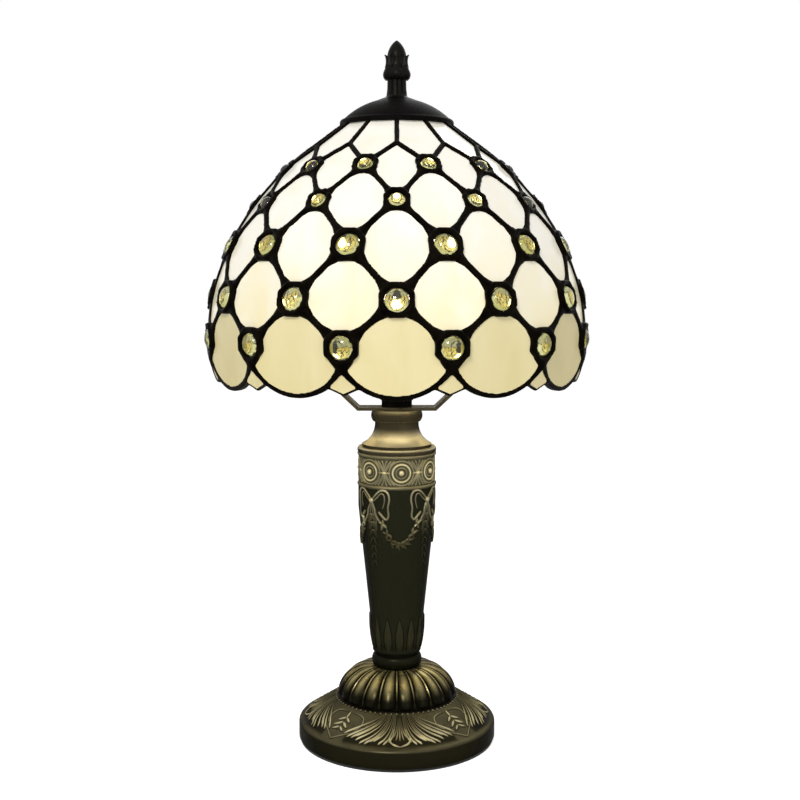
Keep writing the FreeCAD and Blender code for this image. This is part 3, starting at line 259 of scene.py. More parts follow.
# %% Bronze
def bronze(name, wax_and_shade, ground, polish, gold, crest=1.0, painted_toplight=0.5, painted_light_heights=(0.0, 1.0),
           rough=0.33, edge_wear=0.5, creased=True):
    """Lacquered bronze. Its gold, from rubbing and from painted light, grows between two levels in
    mm, and faces that look up get a painted highlight.
    """
    material, shader = new_material(name, Metallic=0.65, Specular_IOR_Level=0.08,
                                    Specular_Tint=linear("#5A5442"))
    place = add_node(material, "ShaderNodeTexCoord")
    mottle = add_node(material, "ShaderNodeTexNoise", Vector=(place, "Object"),
                      Scale=per_metre(9), Detail=5.0, Roughness=0.6)
    grit = add_node(material, "ShaderNodeTexNoise", Vector=(place, "Object"),
                    Scale=per_metre(1.1), Detail=3.0)
    relief = add_node(material, "ShaderNodeAttribute", {"attribute_name": "relief"})
    gold_share = rub_and_painted_light(material, place, relief, mottle, crest, painted_toplight, painted_light_heights, edge_wear, creased)
    base = blend_ramp(add_node(material, "ShaderNodeValToRGB", Fac=(relief, "Fac")),
                      (0.1, wax_and_shade), (0.34, ground), (0.8, polish))
    colour = add_node(material, "ShaderNodeMix", {"data_type": "RGBA"}, i0=(gold_share, "Value"),
                      i6=(base, "Color"), i7=linear(gold))
    link(material, colour, 2, shader, "Base Color")
    roughness = add_node(material, "ShaderNodeMapRange", Value=(mottle, "Fac"),
                         From_Min=0.3, From_Max=0.7, To_Min=rough - 0.06, To_Max=rough + 0.1)
    link(material, roughness, "Result", shader, "Roughness")
    bump = add_node(material, "ShaderNodeBump", Height=(grit, "Fac"), Strength=0.12,
                    Distance=0.3 * MM)
    link(material, bump, "Normal", shader, "Normal")
    return material


# %% The lamp's five bronze finishes, each with painted light from above
# Painted light: the foot's faces that look up get a little gold as a painted highlight.
FOOT_BRONZE = bronze("olive_bronze_lacquer_foot", "#0B0A05", "#2C2A1C", "#403C29", "#C6BC92",
                     1.0, 0.12, edge_wear=0.0)
# Painted light: the bell's gold, strongest above 35 mm and on faces that look up, is a painted highlight
# from the lamp above.
BELL_BRONZE = bronze("olive_bronze_lacquer_bell", "#0B0A05", "#191710", "#2A2718", "#BBAD78",
                     0.7, 0.9, (29.0, 35.0), 0.26)
# Painted light: the column's gold grows from 114 to 151 mm high, nearest the lit shade.
COLUMN_BRONZE = bronze("olive_bronze_lacquer_column", "#0A0906", "#26271B", "#4A4631", "#F2E7B8",
                       1.2, 0.4, (114.0, 151.0))
# Painted highlight: the neck is one plain lacquer colour, and its gold is a painted highlight on the flare,
# strongest low down and on faces that look up.
NECK_BRONZE = bronze("bronze_lacquer_painted_highlight", "#453F2F", "#453F2F", "#453F2F", "#F7EFD2",
                     0.9, 1.9, (185.0, 165.0), creased=False)
# Painted highlight: the harp strip's faces that look up get gold.
STRIP_BRONZE = bronze("bronzed_steel_strip", "#2B2820", "#2B2820", "#2B2820", "#6E6650",
                      0.6, 0.5, rough=0.28, creased=False)

# %% [markdown]
# ### Opal glass
#
# Opal glass is rolled sheet with milk-white crystals in it. Light from the bulb spreads through
# it, so each pane glows all over, with soft streaks where the white is thinner. A faint emission
# stands for that glow, over a pale glossy surface. The panes at the bottom of the shade are
# further from the bulb's light and look more like yellow cream.

# %% Opal glass
RIM_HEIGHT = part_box("solder_net")[0].z
PALE_RISE_MM = 95


def opal(name, rim_colour, bulb_colour, glow):
    """Lit cream glass. It pales from the rim up to the bulb, with rolled streaks 20 mm wide."""
    material, shader = new_material(name, Roughness=0.2, IOR=1.5, Emission_Strength=glow)
    place = add_node(material, "ShaderNodeTexCoord")
    stretch = add_node(material, "ShaderNodeMapping", Vector=(place, "Object"),
                       Scale=(1.0, 1.0, 0.4))
    streak = add_node(material, "ShaderNodeTexNoise", Vector=(stretch, "Vector"),
                      Scale=per_metre(20), Detail=3.0, Roughness=0.5, Distortion=0.6)
    spot = add_node(material, "ShaderNodeSeparateXYZ", Vector=(place, "Object"))
    rise = add_node(material, "ShaderNodeMapRange", Value=(spot, "Z"),
                    From_Min=RIM_HEIGHT, From_Max=RIM_HEIGHT + PALE_RISE_MM * MM)
    wander = add_node(material, "ShaderNodeMapRange", Value=(streak, "Fac"),
                      From_Min=0.3, From_Max=0.7, To_Min=-0.22, To_Max=0.22)
    pale = add_node(material, "ShaderNodeMath", {"operation": "ADD", "use_clamp": True},
                    i0=(rise, "Result"), i1=(wander, "Result"))
    colour = add_node(material, "ShaderNodeMix", {"data_type": "RGBA"}, i0=(pale, "Value"),
                      i6=linear(rim_colour), i7=linear(bulb_colour))
    link(material, colour, 2, shader, "Base Color")
    link(material, colour, 2, shader, "Emission Color")
    ripple = add_node(material, "ShaderNodeTexNoise", Vector=(place, "Object"),
                      Scale=per_metre(8), Detail=1.0)
    bump = add_node(material, "ShaderNodeBump", Height=(ripple, "Fac"), Strength=0.08,
                    Distance=0.4 * MM)
    link(material, bump, "Normal", shader, "Normal")
    return material


OPAL = opal("opal_sheet_glass", "#F3E4AC", "#FFFBEE", 0.22)
OPAL_RIM = opal("opal_sheet_glass_cream", "#EBDCA2", "#FBF0C4", 0.12)

# %% [markdown]
# ### Solder with a black patina
#
# The seams are tin-lead solder run over copper foil and darkened with a copper sulphate wash. It
# stays a metal under the stain, so it is almost black with soft, uneven highlights.

# %% Solder
def patina():
    """Black-stained solder, a little lumpy."""
    material, shader = new_material("patinated_solder", Metallic=0.15, Specular_IOR_Level=0.05,
                                    Specular_Tint=linear("#3A342A"))
    place = add_node(material, "ShaderNodeTexCoord")
    stain = add_node(material, "ShaderNodeTexNoise", Vector=(place, "Object"),
                     Scale=per_metre(7), Detail=4.0)
    ramp = blend_ramp(add_node(material, "ShaderNodeValToRGB", Fac=(stain, "Fac")),
                      (0.35, "#080604"), (0.7, "#15110C"))
    link(material, ramp, "Color", shader, "Base Color")
    roughness = add_node(material, "ShaderNodeMapRange", Value=(stain, "Fac"),
                         From_Min=0.3, From_Max=0.7, To_Min=0.34, To_Max=0.52)
    link(material, roughness, "Result", shader, "Roughness")
    return material


SOLDER = patina()

# %% [markdown]
# ### Jewel glass
#
# The jewels are pressed from clear glass of an olive amber colour, which wanders a little from
# jewel to jewel. Most of the look comes from the shape, a smooth dome in front of a faceted back,
# and from the light that it bends. The other finishes are plain ones with a slight grain.

# %% Jewels, black metal and the rest
def pressed_glass(name, deep, light):
    """Clear glass whose colour wanders between two tones over about 22 mm."""
    material, shader = new_material(name, Roughness=0.03, IOR=1.52, Transmission_Weight=1.0)
    place = add_node(material, "ShaderNodeTexCoord")
    batch = add_node(material, "ShaderNodeTexNoise", Vector=(place, "Object"),
                     Scale=per_metre(22), Detail=2.0)
    ramp = blend_ramp(add_node(material, "ShaderNodeValToRGB", Fac=(batch, "Fac")),
                      (0.38, deep), (0.62, light))
    link(material, ramp, "Color", shader, "Base Color")
    return material


def speckled(name, low, high, grain, roughness, bump_depth=0.05, **inputs):
    """A plain finish with fine colour variation and bump at a real grain size."""
    material, shader = new_material(name, Roughness=roughness, **inputs)
    place = add_node(material, "ShaderNodeTexCoord")
    grit = add_node(material, "ShaderNodeTexNoise", Vector=(place, "Object"),
                    Scale=per_metre(grain), Detail=4.0)
    ramp = blend_ramp(add_node(material, "ShaderNodeValToRGB", Fac=(grit, "Fac")),
                      (0.3, low), (0.7, high))
    link(material, ramp, "Color", shader, "Base Color")
    bump = add_node(material, "ShaderNodeBump", Height=(grit, "Fac"), Strength=0.3,
                    Distance=bump_depth * MM)
    link(material, bump, "Normal", shader, "Normal")
    return material


JEWEL = pressed_glass("olive_amber_glass", "#ABA653", "#E4E3A6")
BLACK_PAINT = speckled("satin_black_enamel", "#070505", "#0E0B0A", 2.0, 0.5,
                       Specular_IOR_Level=0.02)
CAST_BLACK = speckled("black_iron_casting", "#0E0D0A", "#171510", 0.8, 0.34,
                      Specular_IOR_Level=0.06)
FELT = speckled("pressed_felt", "#1B1D1A", "#30332E", 0.6, 0.95, 0.3, Sheen_Weight=0.4)
PHENOLIC = speckled("black_phenolic", "#0B0A09", "#12100E", 3.0, 0.3,
                    Specular_IOR_Level=0.3)
PORCELAIN = speckled("glazed_porcelain", "#E9E4D8", "#F2EEE4", 12.0, 0.18)
BRASS = speckled("plain_brass", "#A8853C", "#B9964A", 1.5, 0.32, Metallic=1.0)
NICKEL = speckled("nickel_plate", "#B9B6AC", "#C6C3B8", 4.0, 0.25, Metallic=1.0)
ZINC = speckled("zinc_plated_steel", "#8A8C8E", "#A1A3A4", 1.2, 0.4, Metallic=1.0)
IRON = speckled("raw_cast_iron", "#1C1B1A", "#2C2A28", 0.9, 0.75, 0.3, Metallic=0.6)
FROSTED = speckled("frosted_bulb_glass", "#FFEFCF", "#FFF6E0", 6.0, 0.5, 0.02,
                   Emission_Color=linear("#FFF0D2"), Emission_Strength=9.0)

# %% [markdown]
# ## CAD pieces that keep their shape
#
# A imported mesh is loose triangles. Two live modifiers weld them and split the sharp edges again,
# so that round faces shade smoothly while the mesh itself stays as it was packed.

# %% Finish for the kept CAD nodes
def finish_node(name, material, angle=30):
    """Smooth shading and a material for a CAD node that keeps its shape."""
    node = frame["nodes"][name]
    for face in node.data.polygons:
        face.use_smooth = True
    weld = node.modifiers.new("weld", "WELD")
    weld.merge_threshold = 0.002 * MM
    split = node.modifiers.new("sharp edges", "EDGE_SPLIT")
    split.split_angle = math.radians(angle)
    node.data.materials.clear()
    node.data.materials.append(material)


KEPT = {
    "felt_pad": FELT, "ballast_plate": IRON, "clamp_washer": ZINC, "clamp_nut": ZINC,
    "threaded_tube": ZINC, "cord_bushing": PHENOLIC, "harp_nut": BLACK_PAINT,
    "shade_post": BRASS, "post_nut": BRASS, "holder_cap": PHENOLIC, "holder_shell": PHENOLIC,
    "holder_core": PORCELAIN, "centre_contact": BRASS, "screw_shell": BRASS,
    "bulb_tip": NICKEL, "bulb_insulator": PHENOLIC, "bulb_screw_cap": NICKEL,
    "bulb_globe": FROSTED, "crown_ring": BRASS, "neck_cap": NECK_BRONZE, "harp": STRIP_BRONZE,
    "shade_cap": BLACK_PAINT,
    "crown_panes": OPAL, "first_panes": OPAL, "second_panes": OPAL, "third_panes": OPAL,
    "fourth_panes": OPAL, "scallop_panes": OPAL_RIM, "rim_wedge_panes": OPAL_RIM,
}
for node_name, node_material in KEPT.items():
    finish_node(node_name, node_material)

# %% [markdown]
# ## Turned castings
#
# The foot and the column are cast in moulds that were carved on a lathe-turned pattern, so each
# starts as a half outline that is spun about the lamp's axis. An outline is a list of radius and
# height in millimetres. Its round stretches are worked out from a radius.

# %% Outline and spin helpers
def arc(start, end, radius, steps=8, bulge=1):
    """Points of a round stretch after its start. It bulges out for 1 and is hollow for -1."""
    start, end = Vector(start), Vector(end)
    chord = end - start
    inward = Vector((-chord.y, chord.x)).normalized() * bulge
    centre = (start + end) / 2 + inward * math.sqrt(radius ** 2 - chord.length_squared / 4)
    first = math.atan2(*(start - centre).yx)
    sweep = (math.atan2(*(end - centre).yx) - first + math.pi) % (2 * math.pi) - math.pi
    angles = [first + sweep * step / steps for step in range(1, steps + 1)]
    return [(centre.x + radius * math.cos(a), centre.y + radius * math.sin(a)) for a in angles]


def spun(name, outline, steps=128):
    """Spins an outline, whose first and last points lie on the axis, into a closed shell."""
    bpy.ops.object.select_all(action="DESELECT")
    bpy.ops.mesh.primitive_plane_add(size=MM)
    piece = bpy.context.active_object
    piece.name = piece.data.name = name
    bpy.ops.object.mode_set(mode="EDIT")
    bpy.ops.mesh.merge(type="CENTER")
    bpy.ops.transform.translate(value=(outline[0][0] * MM, 0, outline[0][1] * MM))
    for (radius, height), (next_radius, next_height) in zip(outline, outline[1:]):
        step = ((next_radius - radius) * MM, 0, (next_height - height) * MM)
        bpy.ops.mesh.extrude_vertices_move(TRANSFORM_OT_translate={"value": step})
    bpy.ops.mesh.select_all(action="SELECT")
    bpy.ops.mesh.spin(steps=steps, angle=2 * math.pi, center=(0, 0, 0), axis=(0, 0, 1))
    bpy.ops.mesh.select_all(action="SELECT")
    bpy.ops.mesh.remove_doubles(threshold=0.005 * MM)
    bpy.ops.mesh.normals_make_consistent(inside=False)
    bpy.ops.object.mode_set(mode="OBJECT")
    return piece


def points_of(piece):
    """The piece's vertices as an array of x, y and z in millimetres."""
    places = np.empty(len(piece.data.vertices) * 3)
    piece.data.vertices.foreach_get("co", places)
    return places.reshape(-1, 3) / MM


def pick(piece, chosen):
    """Goes to edit mode with exactly the chosen vertices selected."""
    if bpy.context.mode == "OBJECT":
        only(piece)
        bpy.ops.object.mode_set(mode="EDIT")
    bpy.ops.mesh.select_mode(type="VERT")
    bpy.ops.mesh.select_all(action="DESELECT")
    bpy.ops.object.mode_set(mode="OBJECT")
    piece.data.vertices.foreach_set("select", chosen)
    bpy.ops.object.mode_set(mode="EDIT")


# %% [markdown]
# ## The bell of the foot
#
# The bell has twenty plump lobes, called gadroons, with a thin raised line between neighbours. A
# spun bell with sixteen columns of points for each lobe can be carved by scaling whole columns
# about the axis. The scale makes the carving shallower towards the top, just as on the casting.

# %% Bell
SLOPE_TOP, BELL_FOOT, BELL_TOP, BELL_SEAT = 23.5, 24.3, 40.0, 32.6
BELL_RADIUS, COLLAR_RADIUS, BELL_ROUND = 31.8, 12.8, 18.5
LOBES, COLUMNS_PER_LOBE = 20, 16
GROOVE, RIDGE, LOBE_CREST = 0.945, 0.985, 1.012


def from_ridge(places):
    """How many columns of points each point lies from the nearest thin line between lobes."""
    turn = np.degrees(np.arctan2(places[:, 1], places[:, 0])) / 360
    step = np.round(turn * LOBES * COLUMNS_PER_LOBE).astype(int) % COLUMNS_PER_LOBE
    return np.minimum(step, COLUMNS_PER_LOBE - step)


bell = spun("foot_bell", [(0, SLOPE_TOP - 1), (32.4, SLOPE_TOP - 1), (BELL_SEAT, SLOPE_TOP + 0.4)]
            + arc((BELL_SEAT, SLOPE_TOP + 0.4), (BELL_RADIUS, BELL_FOOT), 0.8, 4)
            + arc((BELL_RADIUS - 0.9, BELL_FOOT + 0.2), (BELL_RADIUS + 0.1, BELL_FOOT + 1.6), 1.4, 4)
            + arc((BELL_RADIUS + 0.1, BELL_FOOT + 1.6), (COLLAR_RADIUS, BELL_TOP), BELL_ROUND, 22)
            + [(0, BELL_TOP)], LOBES * COLUMNS_PER_LOBE)
places = points_of(bell)
above_bead = (places[:, 2] > BELL_FOOT + 1) & (np.hypot(places[:, 0], places[:, 1]) > 1)
for step in range(COLUMNS_PER_LOBE // 2 + 1):
    swell = math.sin(math.pi * step / COLUMNS_PER_LOBE) ** 0.7
    scale = GROOVE + (LOBE_CREST - GROOVE) * swell if step else RIDGE
    pick(bell, above_bead & (from_ridge(places) == step))
    bpy.ops.transform.resize(value=(scale, scale, 1), center_override=(0, 0, 0))
    bpy.ops.object.mode_set(mode="OBJECT")
smooth(bell, 50)
print("bell with", LOBES, "lobes,", len(bell.data.polygons), "faces")

# %% [markdown]
# ## Ornament by the strand and the leaf
#
# The relief on the castings is drawn flat and then laid on its surface. A strand is a curve with a
# round, tapering bevel, like a roll of clay. A leaf is a small grid whose rows are scaled to a
# leaf's outline and whose middle is pulled up. A drawing has x across, y up and z out of the
# surface, and one function moves each of its points to the place that it belongs.

# %% Strand and leaf
def strands(name, paths, flatten=1.0):
    """Rolls of clay in one mesh. A path is a list of (across, up, thickness radius) in mm."""
    bpy.ops.object.select_all(action="DESELECT")
    bpy.ops.curve.primitive_nurbs_path_add()
    drawn = bpy.context.active_object
    drawn.name = drawn.data.name = name
    drawn.data.splines.clear()
    for path in paths:
        spline = drawn.data.splines.new("NURBS")
        spline.points.add(len(path) - 1)
        for point, (across, up, radius) in zip(spline.points, path):
            point.co = (across * MM, up * MM, 0, 1)
            point.radius = radius
        spline.order_u = 3
        spline.use_endpoint_u = True
        spline.resolution_u = 4
    drawn.data.bevel_depth = MM
    drawn.data.bevel_resolution = 2
    drawn.data.use_fill_caps = True
    bpy.ops.object.convert(target="MESH")
    drawn = bpy.context.active_object
    drawn.scale.z = flatten
    return settle(drawn)


def leaf(name, length, width, rise, widest=0.4, rows=9):
    """A pointed leaf from its foot at the origin up to its tip, crowned along the middle."""
    bpy.ops.object.select_all(action="DESELECT")
    bpy.ops.mesh.primitive_grid_add(x_subdivisions=4, y_subdivisions=rows, size=1.0)
    piece = bpy.context.active_object
    piece.name = piece.data.name = name
    piece.scale = (width * MM, length * MM, MM)
    piece.location.y = length * MM / 2
    settle(piece)
    places = points_of(piece)
    for row in range(rows + 1):
        along = row / rows
        share = math.sin(math.pi / 2 * min(along / widest, (1 - along) / (1 - widest)) ** 0.75)
        pick(piece, np.abs(places[:, 1] - along * length) < length / rows / 3)
        bpy.ops.transform.resize(value=(max(share, 0.04), 1, 1), center_override=(0, 0, 0))
    for share, lift in ((0.1, 1.0), (0.3, 0.72)):
        pick(piece, np.abs(places[:, 0]) < share * width)
        bpy.ops.transform.translate(value=(0, 0, rise * MM * (lift - (0.72 if share < 0.2 else 0))))
    bpy.ops.object.mode_set(mode="OBJECT")
    apply_modifier(piece, "SOLIDIFY", thickness=0.7 * MM, offset=-1)
    return piece


# %% Ring and bead
def ring(name, radius, thickness):
    """A round raised ring drawn about the origin."""
    bpy.ops.object.select_all(action="DESELECT")
    bpy.ops.mesh.primitive_torus_add(major_radius=radius * MM, minor_radius=thickness * MM,
                                     major_segments=40, minor_segments=8)
    bpy.context.active_object.name = name
    return bpy.context.active_object


def bead(name, radius, across=0.0, up=0.0, stretch=1.0):
    """A round or long bead, half sunk in the surface."""
    bpy.ops.object.select_all(action="DESELECT")
    bpy.ops.mesh.primitive_uv_sphere_add(segments=12, ring_count=8, radius=radius * MM,
                                         location=(across * MM, up * MM, 0))
    piece = bpy.context.active_object
    piece.name = name
    piece.scale = (stretch, 1, 0.8)
    return settle(piece)


def put(piece, across, up, turn=0.0, out=0.0):
    """Turns a drawn piece in its plane, in degrees, and moves it."""
    piece.rotation_euler.z = math.radians(turn)
    piece.location = (across * MM, up * MM, out * MM)
    return settle(piece)


# %% Relief, and laying a drawing on a surface
CREST_MM = 0.6


def set_relief(piece, relief):
    """Writes each vertex's relief, which the bronze reads: 0 crease, 0.35 ground, 1 crest."""
    if "relief" not in piece.data.attributes:
        piece.data.attributes.new("relief", "FLOAT", "POINT")
    values = np.broadcast_to(relief, len(piece.data.vertices)).astype(np.float32)
    piece.data.attributes["relief"].data.foreach_set("value", values)
    return piece


def copy_of(piece):
    """A copy with a mesh of its own."""
    only(piece)
    bpy.ops.object.duplicate(linked=False)
    return bpy.context.active_object


def laid(piece, place, crease=0.0):
    """Lays a flat drawing on a surface. Its height off the surface stays as its relief."""
    flat = points_of(piece)
    set_relief(piece, np.clip(crease + (1 - crease) * flat[:, 2] / CREST_MM, crease, 1))
    piece.data.vertices.foreach_set("co", (np.column_stack(place(*flat.T)) * MM).ravel())
    piece.data.update()
    return piece


def around(name, piece, turns):
    """Copies a piece to each turn in degrees about the lamp's axis, and joins the copies."""
    copies = [copy_of(piece) for turn in turns]
    for copy, turn in zip(copies, turns):
        copy.rotation_euler.z = math.radians(turn)
    bpy.data.objects.remove(piece)
    return settle(joined(name, copies))


# %% [markdown]
# ## The slope of the foot
#
# The slope carries four palmettes. Each is a fan of fine ridges in plumes, with a small upright
# palmette in the middle. Between them are scrolled shields, each with a leaf sprig. They are
# drawn as seen from above: x across and y out from the axis, so laying them down only has to find
# the height of the slope.

# %% Slope and how to lay a drawing on it
RIM_RADIUS, RIM_TOP, FELT_TOP, SLOPE_EDGE = 53.3, 11.5, 1.5, 51.3
GROUND = 0.35
slope = spun("foot_slope", [(0, FELT_TOP), (RIM_RADIUS - 0.6, FELT_TOP)]
             + arc((RIM_RADIUS - 0.6, FELT_TOP), (RIM_RADIUS, FELT_TOP + 0.6), 0.6, 3)
             + [(RIM_RADIUS, 5.5), (RIM_RADIUS, RIM_TOP - 2)]
             + arc((RIM_RADIUS, RIM_TOP - 2), (SLOPE_EDGE, RIM_TOP), 2.0, 6)
             + [(radius, SLOPE_TOP - (radius - BELL_SEAT) * (SLOPE_TOP - RIM_TOP) / (SLOPE_EDGE - BELL_SEAT))
                for radius in (49.6, 48.0, 46.0, 44.0, 42.0, 40.0, 38.0, 36.0, 34.4)]
             + [(BELL_SEAT, SLOPE_TOP), (0, SLOPE_TOP)], 192)


def on_slope(across, outwards, out):
    """Where a point of a drawing lies at the front of the foot."""
    radius = np.hypot(across, outwards)
    rise = (SLOPE_TOP - RIM_TOP) / (SLOPE_EDGE - BELL_SEAT)
    height = RIM_TOP + np.clip(SLOPE_EDGE - radius, -1.5, 30) * rise
    return -across, -outwards, height + out


# %% [markdown]
# The ground behind each fan of ridges gets a lower relief value, which the bronze shows darker, so
# the ridges stand out. The wall of the rim is set a little darker too. The cord leaves low at the
# back, where the rim is bored for a bushing. A cylinder cuts the hole, slightly smaller than the
# bushing that fills it.

# %% Darker ground behind the fans, and the cord's way in
PALMETTES, FIRST_PALMETTE, ROOT_RADIUS = 4, 2, 33
places = points_of(slope)
radius = np.hypot(places[:, 0], places[:, 1])
angle = np.degrees(np.arctan2(places[:, 1], places[:, 0])) + 90 - FIRST_PALMETTE
angle = np.abs((angle + 180 / PALMETTES) % (360 / PALMETTES) - 180 / PALMETTES)
fan = (angle < 10 + 27 * np.clip((radius - 33) / 14, 0, 1)) & (radius > 33.5) & (radius < 49.8)
wall = places[:, 2] < RIM_TOP - 1
set_relief(slope, np.where(fan, 0.15, np.where(wall, 0.27, GROUND)))
inlet_low, inlet_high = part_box("cord_bushing")
INLET_TRIM_MM = 0.4
bpy.ops.mesh.primitive_cylinder_add(vertices=48, radius=(inlet_high.x - inlet_low.x) / 2
                                    - INLET_TRIM_MM * MM, depth=24 * MM,
                                    location=(0, inlet_high.y, (inlet_low.z + inlet_high.z) / 2),
                                    rotation=(math.pi / 2, 0, 0))
cutter = bpy.context.active_object
apply_modifier(slope, "BOOLEAN", operation="DIFFERENCE", object=cutter, solver="EXACT")
bpy.data.objects.remove(cutter)

# %% [markdown]
# A palmette is a spread of curved plumes. Each plume is four strands from a shared root, mirrored
# to both sides, so a few angles and lengths give the whole fan. It is made once and copied round.

# %% Palmette
PLUMES = ((11.5, 49.0, 2.2), (23, 49.3, 4.6), (33, 47.2, 6.8))
ridges = []
for tip_angle, tip_radius, root in PLUMES:
    for step in (-1, -1 / 3, 1 / 3, 1):
        angle = math.radians(tip_angle + 4.7 * step)
        reach = tip_radius - 1.5 * step ** 2
        across, out = reach * math.sin(angle), reach * math.cos(angle)
        start = root + 0.7 * step
        bend = (start * 0.86 + across * 0.14, out * 0.45 + ROOT_RADIUS * 0.55)
        knee = (start * 0.42 + across * 0.58, out * 0.88 + ROOT_RADIUS * 0.12)
        for side in (-1, 1):
            ridges.append([(side * start, ROOT_RADIUS - 0.6, 0.28), (side * bend[0], bend[1], 0.36),
                           (side * knee[0], knee[1], 0.52), (side * across, out, 0.7),
                           (side * across * 1.03, out * 1.01, 0.35)])
for lean in (-0.9, -0.45, 0, 0.45, 0.9):
    ridges.append([(lean * 0.6, 33.8, 0.16), (lean * 1.4, 41, 0.4),
                   (lean * 3.8, 46.4 - lean ** 2, 0.52), (lean * 4.9, 47.2 - 2 * lean ** 2, 0.3)])
for side in (-1, 1):
    ridges.append([(0, 50.2, 0.4), (side * 2.2, 49.6, 0.6), (side * 4.8, 48.2, 0.65),
                   (side * 5.8, 45.0, 0.55), (side * 2.4, 40.5, 0.4)])
palmette = laid(strands("palmette", ridges), on_slope)
palmettes = around("palmettes", palmette, [FIRST_PALMETTE + 360 / PALMETTES * step
                                           for step in range(PALMETTES)])
print("palmettes", len(palmettes.data.polygons), "faces")

# %% [markdown]
# A shield is framed by two scrolls. The sprig inside is a generic one: a stalk with three pairs of
# leaves, and one more leaf at its foot.

# %% Scrolled shields between the palmettes
paths = [[(0.3, 45.6, 0.3), (0.5, 41.5, 0.4), (0, 37.4, 0.3)]]
leaves = []
for hand in (-1, 1):
    paths.append([(hand * 1.6, 35.3, 0.35), (hand * 6.0, 34.7, 0.5), (hand * 10.4, 35.6, 0.55),
                  (hand * 11.6, 39.6, 0.55), (hand * 9.4, 43.2, 0.5), (hand * 6.6, 41.8, 0.4),
                  (hand * 7.4, 40.2, 0.3)])
    paths.append([(hand * 9.8, 44.2, 0.45), (hand * 5.0, 47.4, 0.55), (0, 50.4, 0.5)])
    for up, size in ((38.6, 1.0), (41.2, 1.15), (43.8, 0.9)):
        leaves.append(put(leaf("sprig_leaf", 4.2 * size, 1.9 * size, 0.6), hand * 0.3, up,
                          -hand * 62))
leaves.append(put(leaf("sprig_leaf", 3.4, 1.9, 0.6), 0, 38.4, 180))
shield = laid(joined("shield", [strands("scrolls", paths, 0.8)] + leaves), on_slope)
shields = around("shields", shield, [FIRST_PALMETTE + 360 / PALMETTES * (step + 0.5)
                                     for step in range(PALMETTES)])

# %% [markdown]
# A row of small beads closes the slope against the bell, and a pointed leaf stands at the foot of
# each groove. The bell's relief is set column by column: the thin line between lobes is a crest,
# the groove beside it is darkest as painted shade, and the value climbs towards each lobe's middle,
# where the gold shows as a painted highlight.

# %% Rope round the bell's bottom and points in its grooves
rope = around("rope", laid(bead("rope_bead", 0.6, 0, 33.0, 0.8), on_slope),
              [5 * step for step in range(72)])
foot = smooth(joined("foot_slope", [slope, palmettes, shields, rope]), 50)


def on_bell(across, up, out):
    """Where a point of a drawing lies on the front of the bell."""
    radius = BELL_RADIUS * GROOVE + 0.6 - (up - BELL_FOOT) * 0.18 + out
    angle = FRONT + across / BELL_RADIUS
    return radius * np.cos(angle), radius * np.sin(angle), up


points = around("points", laid(put(leaf("point", 3.4, 2.4, 0.8), 0, BELL_FOOT + 0.4), on_bell),
                [360 / LOBES * step for step in range(LOBES)])
places = points_of(bell)
# Painted shade in the grooves and a painted highlight towards each lobe's middle, column by column.
carved = np.choose(np.minimum(from_ridge(places), 7), (0.95, 0.0, 0.08, 0.13, 0.18, 0.23, 0.29, GROUND))
set_relief(bell, np.where(places[:, 2] > BELL_FOOT + 1, carved, GROUND))
bell = smooth(joined("foot_bell", [bell, points]), 50)
dress(foot, "base", FOOT_BRONZE, "bronze", "foot_casting")
dress(bell, "base", BELL_BRONZE, "bronze")

# %% [markdown]
# ## The column
#
# The column is turned in outline, with a collar, a row of pointed leaves, a plain field that gets
# wider upwards, and a frieze between two bead rings. Its ornament is drawn flat and rolled round
# it: a millimetre across turns the point by the angle that a millimetre takes at a radius of 20.

# %% Turned column
COLUMN_BOTTOM, FRIEZE_BOTTOM, FRIEZE_TOP, COLUMN_TOP = 40.0, 141.2, 155.4, 157.0
ROLL_RADIUS = 20
profile = ([(12.3, COLUMN_BOTTOM)] + arc((12.3, COLUMN_BOTTOM), (12.3, 46.8), 5.2, 6)
           + [(11.5, 47.0), (11.5, 47.6)] + arc((11.5, 47.6), (12.9, 50.0), 1.6, 5)
           + arc((12.9, 50.0), (14.7, 64.0), 60.0, 6) + [(14.7, 70.0)]
           + [(16.65, 89.0), (18.7, 108.5), (20.7, 128.0), (20.7, 139.2), (20.7, 139.4)]
           + arc((20.7, 139.4), (20.3, FRIEZE_BOTTOM), 0.95, 5) + [(20.2, 148.0)]
           + [(20.2, FRIEZE_TOP)] + arc((20.3, FRIEZE_TOP), (20.9, COLUMN_TOP), 0.95, 5))
column = spun("column", [(0, COLUMN_BOTTOM)] + profile + [(0, COLUMN_TOP)], 128)
rise = points_of(column)[:, 2]
# Painted light: the frieze band's ground is set lighter, nearest the lit shade; the collar's ground is set
# darker.
set_relief(column, np.where(rise > FRIEZE_BOTTOM - 1.9, 0.54, np.where(rise < 50, 0.22, GROUND)))
print("column", len(column.data.polygons), "faces")


def on_column(across, up, out):
    """Where a point of a drawing lies at the front of the column."""
    radius = np.interp(up, [height for _, height in profile], [r for r, _ in profile]) + out
    angle = FRONT + across / ROLL_RADIUS
    return radius * np.cos(angle), radius * np.sin(angle), up


# %% [markdown]
# The frieze repeats a roundel of rings about a boss, and a spray of fronds between each two. Both
# are drawn flat from tori, beads, strands and leaves, and rolled round the column.

# %% Frieze of roundels and sprays
ROUNDELS, MIDDLE = 7, (FRIEZE_BOTTOM + FRIEZE_TOP) / 2
roundel = [ring("outer", 6.4, 0.42), ring("inner", 4.6, 0.62), ring("halo", 2.8, 0.3),
           bead("boss", 1.5)]
roundel = laid(put(joined("roundel", roundel), 0, MIDDLE), on_column, 0.1)
roundels = around("roundels", roundel, [7 + 360 / ROUNDELS * step for step in range(ROUNDELS)])

